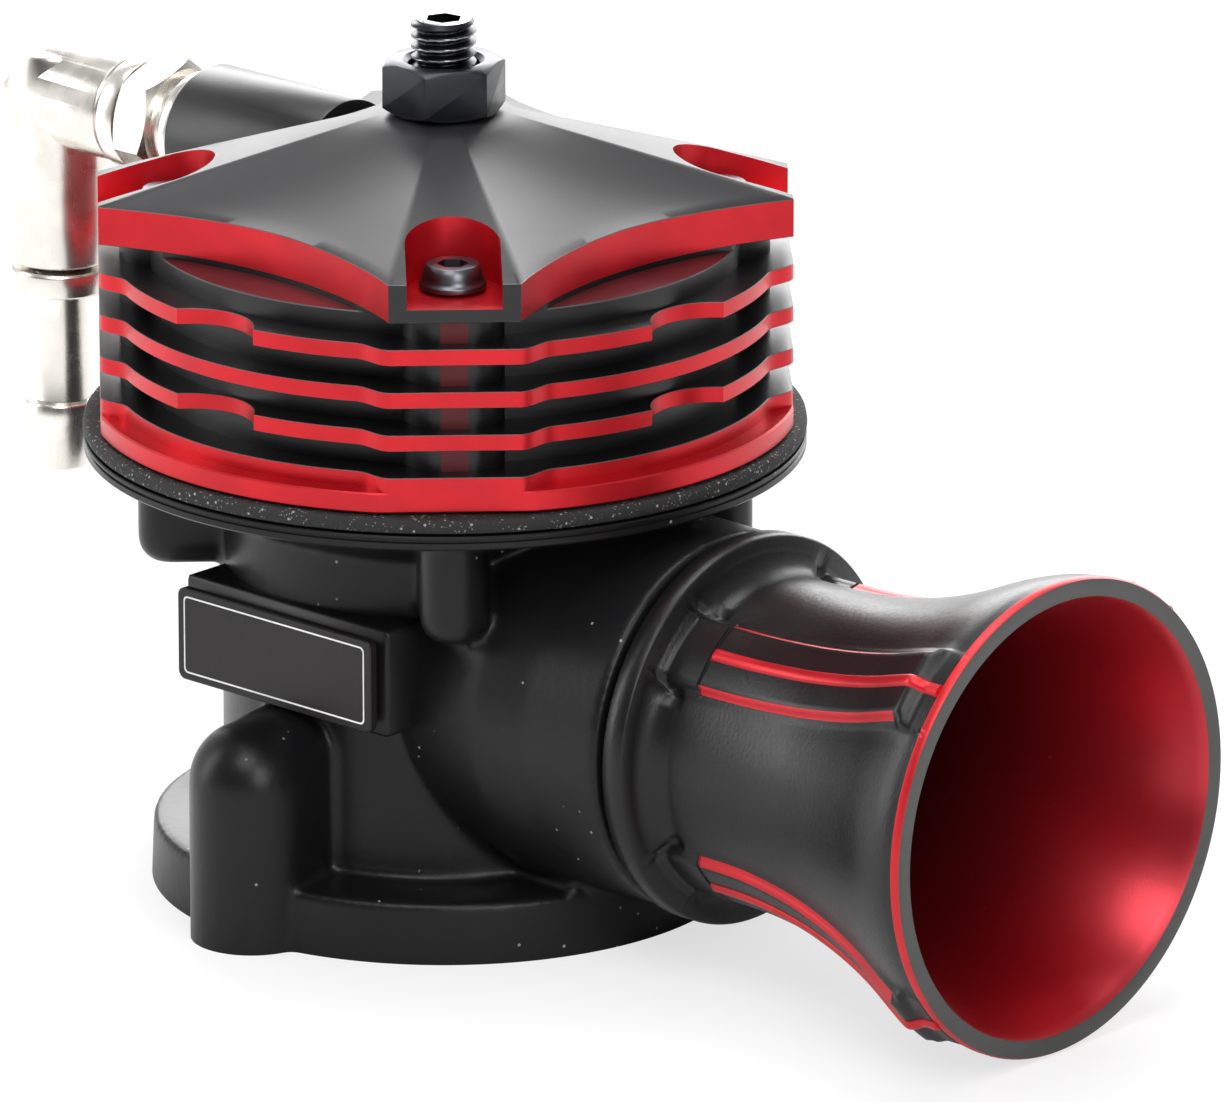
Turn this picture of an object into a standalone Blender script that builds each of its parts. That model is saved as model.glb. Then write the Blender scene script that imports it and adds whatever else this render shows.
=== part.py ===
"""Blow off valve: finned square cap, die-cast body, diaphragm valve inside, flared outlet funnel
and a hose elbow. Metres, +Z up, the flange stands on Z = 0 and the valve axis is vertical."""

import math

import bmesh
import bpy
from mathutils import Matrix, Vector

# Clearances
GAP = 0.0003
THIN_GAP = 0.0002
LEAD_IN = 0.001

# Facets of a full turn
FINE = 48
MEDIUM = 24
SMALL = 16

# Base flange and its three blind bolt bosses
FLANGE_RADIUS = 0.0274
FLANGE_DRAFT = 0.0004
FLANGE_HEIGHT = 0.0058
FLANGE_EDGE = 0.0004
BOLT_CIRCLE_RADIUS = 0.0266
BOLT_BOSS_RADIUS = 0.0051
BOLT_BOSS_SPRING = 0.0153
BOLT_BOSS_RISE = 0.0004
BOLT_BOSS_ROOT = 0.0190
BOLT_HOLE_RADIUS = 0.0026
BOLT_HOLE_DEPTH = 0.0110
BOLT_ANGLES = (-90.0, 30.0, 150.0)
BASE_SEAL_RADIUS = 0.0165
BASE_SEAL_CORD = 0.0015
INLET_RADIUS = 0.0130

# Body neck, deck and diaphragm flange
NECK_RADIUS = 0.0206
NECK_FILLET = 0.0012
NECK_TOP = 0.0362
RIM_MARGIN = 0.0080
RIM_THICKNESS = 0.0014
RIM_UNDERSIDE = 0.0016
SEAT_HEIGHT = 0.0150
SEAT_LIP = 0.0006
SEAT_LIP_WIDTH = 0.0010
CHAMBER_RADIUS = 0.0176
CHAMBER_TOP = 0.0335
CHAMBER_FILLET = 0.0015
DECK_TOP = 0.0384
POOL_RADIUS = 0.0213
POOL_SLOPE = 0.0020

# Cap screws, their circle and the bosses that take them
SCREW_CIRCLE_RADIUS = 0.0252
SCREW_RADIUS = 0.00195
SCREW_HOLE_RADIUS = SCREW_RADIUS + GAP
SCREW_TIP_HEIGHT = 0.0337
SCREW_FLANGE_RADIUS = 0.0033
SCREW_FLANGE_HEIGHT = 0.0006
SCREW_DOME_RADIUS = 0.0025
SCREW_DOME_HEIGHT = 0.0016
SCREW_KEY = 0.0025
SCREW_KEY_DEPTH = 0.0013
BODY_BOSS_RADIUS = 0.0057
BODY_BOSS_FOOT = 0.0316
BODY_BOSS_FILLET = 0.0020
BODY_BOSS_ROOT = 0.0170

# Outlet pipe of the body
OUTLET_HEIGHT = 0.0221
OUTLET_PIPE_RADIUS = 0.0176
OUTLET_PIPE_FLARE = 0.0006
OUTLET_PIPE_START = 0.0080
OUTLET_PIPE_END = 0.0350
OUTLET_BORE = 0.0126
OUTLET_BORE_START = 0.0148
SOCKET_START = 0.0290
SOCKET_RADIUS = 0.0149
WEB_HALF_WIDTH = 0.0098
WEB_REACH = 0.0250
WEB_START = 0.0150
WEB_TOP = 0.0125

# Nameplate and the pad that carries it
PAD_HALF_WIDTH = 0.0129
PAD_FACE = 0.0212
PAD_BACK = 0.0140
PAD_LOW = 0.0204
PAD_HIGH = 0.0310
PAD_EDGE = 0.0005
PLATE_HALF_WIDTH = 0.01195
PLATE_HALF_HEIGHT = 0.0042
PLATE_CENTRE = 0.0256
PLATE_THICKNESS = 0.0009
PLATE_CORNER = 0.0008
TAPE_THICKNESS = 0.0004
TAPE_INSET = 0.0006

# Diaphragm and its plates
DIAPHRAGM_THICKNESS = 0.0013
ROLL_INNER = 0.0156
ROLL_OUTER = 0.0202
ROLL_DEPTH = 0.0022
ROLL_POINTS = 7
RIM_SEAL_GAP = 0.00025
BACKING_RADIUS = 0.0150
BACKING_THICKNESS = 0.0014
SPRING_GUIDE_RADIUS = 0.0070
SPRING_GUIDE_WALL = 0.0012
SPRING_GUIDE_HEIGHT = 0.0014

# Stem, poppet and guide bush
STEM_RADIUS = 0.0030
STEM_THREAD_RADIUS = 0.0025
STEM_NUT_KEY = 0.0080
STEM_NUT_HEIGHT = 0.0040
STEM_END = 0.0008
POPPET_RADIUS = 0.0158
POPPET_THICKNESS = 0.0022
POPPET_HUB_RADIUS = 0.0060
POPPET_HUB_HEIGHT = 0.0016
POPPET_NUT_HEIGHT = 0.0030
SEAL_INNER = 0.0127
SEAL_OUTER = 0.0149
SEAL_THICKNESS = 0.0013
SEAL_PROUD = 0.0003
BUSH_RADIUS = 0.0052
BUSH_FLANGE_RADIUS = 0.0070
BUSH_FLANGE = 0.0010

# Main spring and its adjuster
SPRING_MEAN_RADIUS = 0.0083
WIRE_RADIUS = 0.00085
SPRING_TURNS = 4.2
SPRING_DEAD_TURNS = 0.9
SPRING_POINTS = 12
SPRING_SEAT_RADIUS = 0.0099
ADJUST_ROOM = 0.0023
SPRING_SEAT_THICKNESS = 0.0021
SPRING_SPIGOT_RADIUS = 0.0062
SPRING_SPIGOT = 0.0015
SET_SCREW_RADIUS = 0.0030
SET_SCREW_TOP = 0.0817
SET_SCREW_TIP_SINK = 0.0004
SET_SCREW_KEY = 0.0030
SET_SCREW_KEY_DEPTH = 0.0030
LOCK_NUT_KEY = 0.0100
LOCK_NUT_HEIGHT = 0.0048
LOCK_NUT_TURN = 14.5
NUT_CHAMFER = 0.0006
NUT_LAND = 0.0001

# Cap: levels from its joint face up
CAP_BOTTOM = 0.0445
CAP_RING_RADIUS = 0.0324
CAP_RING_HEIGHT = 0.0019
CAP_BASE_HEIGHT = 0.0033
FIN_THICKNESS = 0.0015
FIN_PITCH = 0.0040
FIN_FIRST = 0.0058
FIN_COUNT = 3
FIN_RADIUS = 0.0305
FIN_FLARE_ANGLE = 5.4
FIN_FLARE_STEPS = 3
CORNER_DISTANCE = 0.03165
CORNER_HALF_WIDTH = 0.00593
SCALLOP_RADIUS = 0.00585
SCALLOP_CENTRE = 0.0335
CORE_RADIUS = 0.0273
CORE_LOBE_RADIUS = 0.0049
CORE_STRIPE_HALF_WIDTH = 0.00125
PLATE_LEVEL = 0.0178
ROOF_EDGE_HEIGHT = 0.0035
ROOF_SIDE_RISE = 0.0004
ROOF_SIDE_DISTANCE = 0.0226
ROOF_STEPS = 5
NUT_SEAT_RADIUS = 0.0062
ROOF_RISE = 0.0071
RIDGE_POWER = 0.93
VALLEY_POWER = 1.22
POCKET_RADIUS = 0.0043
POCKET_FLOOR = 0.0635
CAVITY_RADIUS = 0.0205
CAVITY_SHOULDER = 0.0568
CAVITY_CONE = 0.0620
SEAT_BORE_RADIUS = 0.0106
SEAT_BORE_ROOF = 0.0056
PORT_DROP = 0.0077
PORT_BOSS_RADIUS = 0.0061
PORT_BOSS_END = 0.0297
PORT_BOSS_START = 0.0120
PORT_THREAD_END = 0.0190
PORT_PASSAGE_RADIUS = 0.0020

# Outlet funnel, measured along its own axis from the valve axis
SPIGOT_GAP_RADIUS = SOCKET_RADIUS - GAP
FUNNEL_SEAL_START = 0.0310
FUNNEL_SEAL_WIDTH = 0.0020
FUNNEL_SEAL_DEPTH = 0.0011
FUNNEL_SEAL_CORD = 0.0011
COLLAR_GROOVE_RADIUS = 0.0166
COLLAR_START = 0.0361
COLLAR_END = 0.0385
COLLAR_RADIUS = 0.01805
COLLAR_EDGE = 0.0003
WAIST_START = 0.0400
WAIST_RADIUS = 0.0156
MOUTH_X = 0.0751
MOUTH_RADIUS = 0.0217
MOUTH_INNER_RADIUS = 0.0201
MOUTH_RIM_LENGTH = 0.0034
HORN_STEPS = 9
BORE_STEPS = 6
WAIST_FLAT = 0.0145
RIB_START = 0.0432
RIB_END = 0.0700
RIB_PROUD = 0.0011
RIB_PROUD_END = 0.0010
RIB_HALF_ANGLE = 12.5
RIB_STEPS = 4
RIB_ANGLES = (45.0, 135.0, 225.0, 315.0)

# Hose elbow, along -X from the cap's port boss
FITTING_BORE_RADIUS = 0.0024
THREAD_RADIUS = 0.0030
THREAD_BORE_RADIUS = THREAD_RADIUS + GAP
WASHER_THICKNESS = 0.0014
WASHER_RADIUS = 0.0055
ADAPTOR_NECK = 0.0016
ADAPTOR_NECK_RADIUS = 0.0045
ADAPTOR_HEX_KEY = 0.0105
ADAPTOR_HEX = 0.0040
ADAPTOR_SPIGOT = 0.0070
ELBOW_COLLAR = 0.0026
ELBOW_COLLAR_RADIUS = 0.0053
ELBOW_RADIUS = 0.0050
ELBOW_LEG_X = 0.0496
ELBOW_END_X = 0.0530
ELBOW_CHAMFER = 0.0011
LEG_RADIUS = 0.0049
LEG_FOOT = 0.0490
SWIVEL_SEAL_CORD = 0.0010
BARB_THREAD = 0.0050
BARB_HEX_KEY = 0.0088
BARB_HEX = 0.0022
BARB_TUBE_RADIUS = 0.00283
BARB_BORE_RADIUS = 0.0017
BARB_LEDGE = 0.0354
BARB_SHOULDER = 0.0333
BARB_TIP = 0.0287
BARB_RADIUS = 0.0037
BARB_TIP_RADIUS = 0.0025

# Heights and places that follow from the sizes above
AXIS_X = (ELBOW_LEG_X + LEG_RADIUS - MOUTH_X) / 2
RIM_RADIUS = SCREW_CIRCLE_RADIUS + RIM_MARGIN
CAP_TOP_PLATE = CAP_BOTTOM + PLATE_LEVEL
ROOF_CORNER = CAP_TOP_PLATE + ROOF_EDGE_HEIGHT
NUT_SEAT_HEIGHT = ROOF_CORNER + ROOF_RISE
SEAT_BORE_TOP = NUT_SEAT_HEIGHT - SEAT_BORE_ROOF
PORT_HEIGHT = NUT_SEAT_HEIGHT - PORT_DROP
DIAPHRAGM_TOP = CAP_BOTTOM - RIM_SEAL_GAP
DIAPHRAGM_BOTTOM = DIAPHRAGM_TOP - DIAPHRAGM_THICKNESS
BODY_TOP = DIAPHRAGM_BOTTOM - RIM_SEAL_GAP
LOWER_PLATE_TOP = DIAPHRAGM_BOTTOM - GAP
LOWER_PLATE_BOTTOM = LOWER_PLATE_TOP - BACKING_THICKNESS
UPPER_PLATE_BOTTOM = DIAPHRAGM_TOP + GAP
UPPER_PLATE_TOP = UPPER_PLATE_BOTTOM + BACKING_THICKNESS
STEM_NUT_BOTTOM = UPPER_PLATE_TOP + GAP
SEAL_BOTTOM = SEAT_HEIGHT + SEAT_LIP + GAP
POPPET_BOTTOM = SEAL_BOTTOM + SEAL_PROUD
POPPET_TOP = POPPET_BOTTOM + POPPET_THICKNESS
POPPET_HUB_TOP = POPPET_TOP + POPPET_HUB_HEIGHT
THREAD_CLEARANCE = STEM_THREAD_RADIUS + GAP
SPRING_SEAT_TOP = SEAT_BORE_TOP - ADJUST_ROOM
SPRING_SEAT_HEIGHT = SPRING_SEAT_TOP - SPRING_SEAT_THICKNESS
SET_SCREW_TIP = SPRING_SEAT_TOP - SET_SCREW_TIP_SINK
WASHER_START = PORT_BOSS_END + GAP
WASHER_END = WASHER_START + WASHER_THICKNESS
ADAPTOR_START = WASHER_END + GAP
ADAPTOR_HEX_START = ADAPTOR_START + ADAPTOR_NECK
ADAPTOR_HEX_END = ADAPTOR_HEX_START + ADAPTOR_HEX
ELBOW_START = ADAPTOR_HEX_END + GAP
BARB_HEX_TOP = LEG_FOOT - GAP
BARB_HEX_BOTTOM = BARB_HEX_TOP - BARB_HEX


def clear_scene():
    for obj in list(bpy.data.objects):
        bpy.data.objects.remove(obj, do_unlink=True)


def finish(name, colour, roughness, metallic):
    """A Principled material in one colour."""
    material = bpy.data.materials.new(name)
    material.use_nodes = True
    shader = material.node_tree.nodes["Principled BSDF"]
    shader.inputs["Base Color"].default_value = (*colour, 1.0)
    shader.inputs["Roughness"].default_value = roughness
    shader.inputs["Metallic"].default_value = metallic
    return material


def turned(profile, segments=FINE):
    """A turned solid about Z. The profile holds (radius, height) points: it starts and ends on
    the axis, or it is a closed loop away from it."""
    bm = bmesh.new()
    rings = []
    for radius, height in profile:
        if radius == 0:
            continue
        ring = []
        for i in range(segments):
            angle = math.tau * i / segments
            ring.append(bm.verts.new((radius * math.cos(angle), radius * math.sin(angle), height)))
        rings.append(ring)
    pairs = list(zip(rings, rings[1:]))
    if profile[0][0] > 0:
        pairs.append((rings[-1], rings[0]))
    else:
        bm.faces.new(rings[0])
        bm.faces.new(rings[-1])
    for low, high in pairs:
        for i in range(segments):
            j = (i + 1) % segments
            bm.faces.new((low[i], low[j], high[j], high[i]))
    return bm


def sector(profile, middle, half_angle, steps):
    """A closed profile of (radius, height) points swept about Z through part of a turn."""
    bm = bmesh.new()
    rings = []
    for i in range(steps + 1):
        angle = math.radians(middle - half_angle + 2 * half_angle * i / steps)
        rings.append([bm.verts.new((r * math.cos(angle), r * math.sin(angle), h)) for r, h in profile])
    for first, second in zip(rings, rings[1:]):
        for i in range(len(profile)):
            j = (i + 1) % len(profile)
            bm.faces.new((first[i], first[j], second[j], second[i]))
    bm.faces.new(rings[0])
    bm.faces.new(rings[-1])
    return bm


def prism(outline, low, high):
    """An outline of (x, y) points extruded along Z."""
    bm = bmesh.new()
    bottom = [bm.verts.new((x, y, low)) for x, y in outline]
    top = [bm.verts.new((x, y, high)) for x, y in outline]
    bm.faces.new(bottom)
    bm.faces.new(top)
    for i in range(len(outline)):
        j = (i + 1) % len(outline)
        bm.faces.new((bottom[i], bottom[j], top[j], top[i]))
    return bm


def hull(points):
    """The convex hull of a set of points."""
    bm = bmesh.new()
    for point in points:
        bm.verts.new(point)
    result = bmesh.ops.convex_hull(bm, input=bm.verts)
    inside = [item for item in result["geom_interior"] if isinstance(item, bmesh.types.BMVert)]
    bmesh.ops.delete(bm, geom=inside, context="VERTS")
    return bm


def block(low, high, edge=0.0):
    """A box between two corners, its edges rounded by a small bevel."""
    bm = bmesh.new()
    bmesh.ops.create_cube(bm, size=1.0)
    size = Vector(high) - Vector(low)
    centre = (Vector(high) + Vector(low)) / 2
    bmesh.ops.transform(bm, matrix=Matrix.Translation(centre) @ Matrix.Diagonal((*size, 1)), verts=bm.verts)
    if edge:
        bmesh.ops.bevel(bm, geom=bm.edges, offset=edge, segments=2, profile=0.5, affect="EDGES")
    return bm


def solid(name, bm, parent, material=None, location=(0, 0, 0), rotation=(0, 0, 0)):
    """Makes the object: smooth where its faces nearly line up, sharp at real edges."""
    bmesh.ops.recalc_face_normals(bm, faces=bm.faces)
    if any(rotation):
        bmesh.ops.triangulate(bm, faces=bm.faces)
    mesh = bpy.data.meshes.new(name)
    bm.to_mesh(mesh)
    bm.free()
    mesh.shade_smooth()
    mesh.set_sharp_from_angle(angle=math.radians(32))
    obj = bpy.data.objects.new(name, mesh)
    bpy.context.scene.collection.objects.link(obj)
    obj.parent = parent
    obj.location = location
    obj.rotation_euler = [math.radians(angle) for angle in rotation]
    if material:
        obj.data.materials.append(material)
    return obj


def combine(obj, operation, helper):
    """Adds a helper to an object, or takes it away, with a Boolean that stays on the object."""
    modifier = obj.modifiers.new(helper.name, "BOOLEAN")
    modifier.object = helper
    modifier.operation = operation
    modifier.solver = "EXACT"
    helper.hide_render = True
    helper.display_type = "WIRE"


def add(obj, name, bm, location=(0, 0, 0), rotation=(0, 0, 0)):
    combine(obj, "UNION", solid(name, bm, obj.parent, None, location, rotation))


def cut(obj, name, bm, location=(0, 0, 0), rotation=(0, 0, 0)):
    combine(obj, "DIFFERENCE", solid(name, bm, obj.parent, None, location, rotation))


def polar(radius, degrees):
    angle = math.radians(degrees)
    return (radius * math.cos(angle), radius * math.sin(angle))


def hexagon(across_flats, turn=0.0):
    return [polar(across_flats / math.sqrt(3), 60 * i + turn) for i in range(6)]


def rounded_rectangle(half_width, half_height, corner, steps=4):
    points = []
    for quadrant, (sx, sy) in enumerate(((1, 1), (-1, 1), (-1, -1), (1, -1))):
        for i in range(steps + 1):
            x, y = polar(corner, 90 * quadrant + 90 * i / steps)
            points.append((sx * (half_width - corner) + x, sy * (half_height - corner) + y))
    return points


def four_sides(half_side):
    """A closed outline from half of one side: points from the middle of the +X side to the
    corner at 45 degrees, mirrored and repeated round the square."""
    mirrored = [(x, -y) for x, y in reversed(half_side) if y > 0]
    outline = []
    for quarter in range(4):
        turn = Matrix.Rotation(math.radians(90 * quarter), 2)
        outline += [tuple(turn @ Vector(point)) for point in mirrored + half_side]
    return outline


def corner_end():
    """Where a corner flat of the cap ends, on the side of the +X face."""
    root = math.sqrt(0.5)
    x = (CORNER_DISTANCE + CORNER_HALF_WIDTH) * root
    y = (CORNER_DISTANCE - CORNER_HALF_WIDTH) * root
    return x, y


def fin_half_side(scalloped):
    """Plan of a cooling fin: a round side that flares out to the corner flat, with or without
    the round scallop in its middle."""
    end_x, end_y = corner_end()
    end_angle = math.degrees(math.atan2(end_y, end_x))
    end_radius = math.hypot(end_x, end_y)
    flare_start = end_angle - FIN_FLARE_ANGLE
    points = []
    first = 0.0
    if scalloped:
        cosine = FIN_RADIUS**2 + SCALLOP_CENTRE**2 - SCALLOP_RADIUS**2
        cosine /= 2 * FIN_RADIUS * SCALLOP_CENTRE
        first = math.degrees(math.acos(cosine))
        reach = math.asin(FIN_RADIUS * math.sin(math.radians(first)) / SCALLOP_RADIUS)
        for i in range(4):
            angle = reach * i / 4
            x = SCALLOP_CENTRE - SCALLOP_RADIUS * math.cos(angle)
            points.append((x, SCALLOP_RADIUS * math.sin(angle)))
    count = 3
    for i in range(count + 1):
        points.append(polar(FIN_RADIUS, first + (flare_start - first) * i / count))
    for i in range(1, FIN_FLARE_STEPS + 1):
        t = i / FIN_FLARE_STEPS
        swell = t * t * (3 - 2 * t)
        radius = FIN_RADIUS + (end_radius - FIN_RADIUS) * swell
        points.append(polar(radius, flare_start + FIN_FLARE_ANGLE * t))
    return points


def ring_half_side():
    """Plan of the cap's lowest ring: a circle with four corner flats."""
    end_x, end_y = corner_end()
    end_angle = math.degrees(math.atan2(end_y, end_x))
    points = [polar(CAP_RING_RADIUS, end_angle * i / 5) for i in range(5)]
    return points + [(end_x, end_y)]


def core_half_side():
    """Plan of the wall behind the fins: a circle with a lobe round each screw."""
    stripe = math.sqrt(CORE_LOBE_RADIUS**2 - CORE_STRIPE_HALF_WIDTH**2) + SCREW_CIRCLE_RADIUS
    cosine = SCREW_CIRCLE_RADIUS**2 + CORE_RADIUS**2 - CORE_LOBE_RADIUS**2
    cosine /= 2 * SCREW_CIRCLE_RADIUS * CORE_RADIUS
    lobe_reach = math.degrees(math.acos(cosine))
    points = [polar(CORE_RADIUS, (45 - lobe_reach) * i / 5) for i in range(6)]
    stripe_angle = math.degrees(math.atan2(CORE_STRIPE_HALF_WIDTH, stripe))
    for i in range(1, 4):
        away = lobe_reach + (stripe_angle - lobe_reach) * i / 3
        sine = SCREW_CIRCLE_RADIUS * math.sin(math.radians(away))
        radius = SCREW_CIRCLE_RADIUS * math.cos(math.radians(away)) + math.sqrt(CORE_LOBE_RADIUS**2 - sine**2)
        points.append(polar(radius, 45 - away))
    return points


def roof_half_side():
    """Plan of the top plate: a concave arc from corner flat to corner flat."""
    end_x, end_y = corner_end()
    rise = end_x - ROOF_SIDE_DISTANCE
    radius = (end_y**2 + rise**2) / (2 * rise)
    points = []
    for i in range(8):
        angle = math.asin(end_y / radius) * i / 7
        points.append((ROOF_SIDE_DISTANCE + radius * (1 - math.cos(angle)), radius * math.sin(angle)))
    return points


def roof():
    """The cap's top: vertical sides and a tent that rises to the lock nut's seat, with a ridge
    to each corner and a hollow between the ridges."""
    outline = four_sides(roof_half_side())
    bm = bmesh.new()
    bottom = [bm.verts.new((x, y, CAP_TOP_PLATE)) for x, y in outline]
    rings = [bottom]
    for step in range(ROOF_STEPS + 1):
        inward = step / ROOF_STEPS
        ring = []
        for x, y in outline:
            distance = math.hypot(x, y)
            to_corner = abs(math.sin(2 * math.atan2(y, x))) ** 2
            edge = ROOF_CORNER + ROOF_SIDE_RISE * (1 - to_corner)
            power = VALLEY_POWER + (RIDGE_POWER - VALLEY_POWER) * to_corner
            height = edge + (NUT_SEAT_HEIGHT - edge) * inward**power
            radius = distance + (NUT_SEAT_RADIUS - distance) * inward
            ring.append(bm.verts.new((x / distance * radius, y / distance * radius, height)))
        rings.append(ring)
    for low, high in zip(rings, rings[1:]):
        for i in range(len(outline)):
            j = (i + 1) % len(outline)
            bm.faces.new((low[i], low[j], high[j], high[i]))
    bm.faces.new(bottom)
    bm.faces.new(rings[-1])
    return bm


def cap(parent, material):
    top = CAP_BOTTOM + CAP_BASE_HEIGHT
    core = four_sides(core_half_side())
    piece = solid("cap", prism(core, CAP_BOTTOM, CAP_TOP_PLATE + LEAD_IN), parent, material)
    ring = four_sides(ring_half_side())
    add(piece, "cap_ring", prism(ring, CAP_BOTTOM, CAP_BOTTOM + CAP_RING_HEIGHT))
    step = four_sides(fin_half_side(False))
    add(piece, "cap_base", prism(step, CAP_BOTTOM + CAP_RING_HEIGHT / 2, top))
    for i in range(FIN_COUNT):
        low = CAP_BOTTOM + FIN_FIRST + FIN_PITCH * i
        fin = four_sides(fin_half_side(i % 2 == 0))
        add(piece, f"cap_fin_{i + 1}", prism(fin, low, low + FIN_THICKNESS))
    add(piece, "cap_roof", roof())
    boss = [(0, PORT_BOSS_START), (PORT_BOSS_RADIUS, PORT_BOSS_START), (PORT_BOSS_RADIUS, PORT_BOSS_END)]
    boss.append((0, PORT_BOSS_END))
    add(piece, "cap_port_boss", turned(boss, MEDIUM), (0, 0, PORT_HEIGHT), (0, -90, 0))
    bore = SET_SCREW_RADIUS + GAP
    cavity = [
        (0, CAP_BOTTOM - LEAD_IN),
        (CAVITY_RADIUS, CAP_BOTTOM - LEAD_IN),
        (CAVITY_RADIUS, CAVITY_SHOULDER),
        (SEAT_BORE_RADIUS, CAVITY_CONE),
        (SEAT_BORE_RADIUS, SEAT_BORE_TOP),
        (bore, SEAT_BORE_TOP),
        (bore, NUT_SEAT_HEIGHT + LEAD_IN),
        (0, NUT_SEAT_HEIGHT + LEAD_IN),
    ]
    cut(piece, "cap_cavity", turned(cavity, FINE))
    port = [
        (0, SEAT_BORE_RADIUS - LEAD_IN),
        (PORT_PASSAGE_RADIUS, SEAT_BORE_RADIUS - LEAD_IN),
        (PORT_PASSAGE_RADIUS, PORT_THREAD_END),
        (THREAD_BORE_RADIUS, PORT_THREAD_END),
        (THREAD_BORE_RADIUS, PORT_BOSS_END + LEAD_IN),
        (0, PORT_BOSS_END + LEAD_IN),
    ]
    cut(piece, "cap_port_bore", turned(port, SMALL), (0, 0, PORT_HEIGHT), (0, -90, 0))
    slot = [polar(POCKET_RADIUS, 90 + 180 * i / 12) for i in range(13)]
    slot += [(POCKET_RADIUS * 3, -POCKET_RADIUS), (POCKET_RADIUS * 3, POCKET_RADIUS)]
    for corner in range(4):
        angle = 45 + 90 * corner
        place = (*polar(SCREW_CIRCLE_RADIUS, angle), 0)
        hole = [polar(SCREW_HOLE_RADIUS, 360 * i / SMALL) for i in range(SMALL)]
        pocket = prism(slot, POCKET_FLOOR, NUT_SEAT_HEIGHT)
        cut(piece, f"cap_pocket_{corner + 1}", pocket, place, (0, 0, angle))
        low = CAP_BOTTOM - LEAD_IN
        cut(piece, f"cap_hole_{corner + 1}", prism(hole, low, POCKET_FLOOR + LEAD_IN), place)
    return piece


def ring_points(radius, centre, height, count=SMALL):
    points = []
    for i in range(count):
        x, y = polar(radius, 360 * i / count)
        points.append((centre + x, y, height))
    return points


def body_boss():
    """A cap screw's boss under the rim, joined to the neck by a web as wide as itself."""
    points = []
    for centre in (BODY_BOSS_ROOT, SCREW_CIRCLE_RADIUS):
        points += ring_points(BODY_BOSS_RADIUS, centre, BODY_TOP - RIM_THICKNESS / 2)
        for i in range(3):
            angle = math.radians(45 * i)
            radius = BODY_BOSS_RADIUS - BODY_BOSS_FILLET * (1 - math.cos(angle))
            height = BODY_BOSS_FOOT + BODY_BOSS_FILLET * (1 - math.sin(angle))
            points += ring_points(radius, centre, height)
    return hull(points)


def bolt_boss():
    """A blind bolt boss on the flange: upright, with a round roof that climbs to the neck."""
    points = []
    for centre, rise in ((BOLT_CIRCLE_RADIUS, 0.0), (BOLT_BOSS_ROOT, BOLT_BOSS_RISE)):
        points += ring_points(BOLT_BOSS_RADIUS, centre, 0)
        for i in range(4):
            angle = math.radians(22.5 * i)
            height = BOLT_BOSS_SPRING + rise + BOLT_BOSS_RADIUS * math.sin(angle)
            points += ring_points(BOLT_BOSS_RADIUS * math.cos(angle), centre, height)
    return hull(points)


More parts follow.
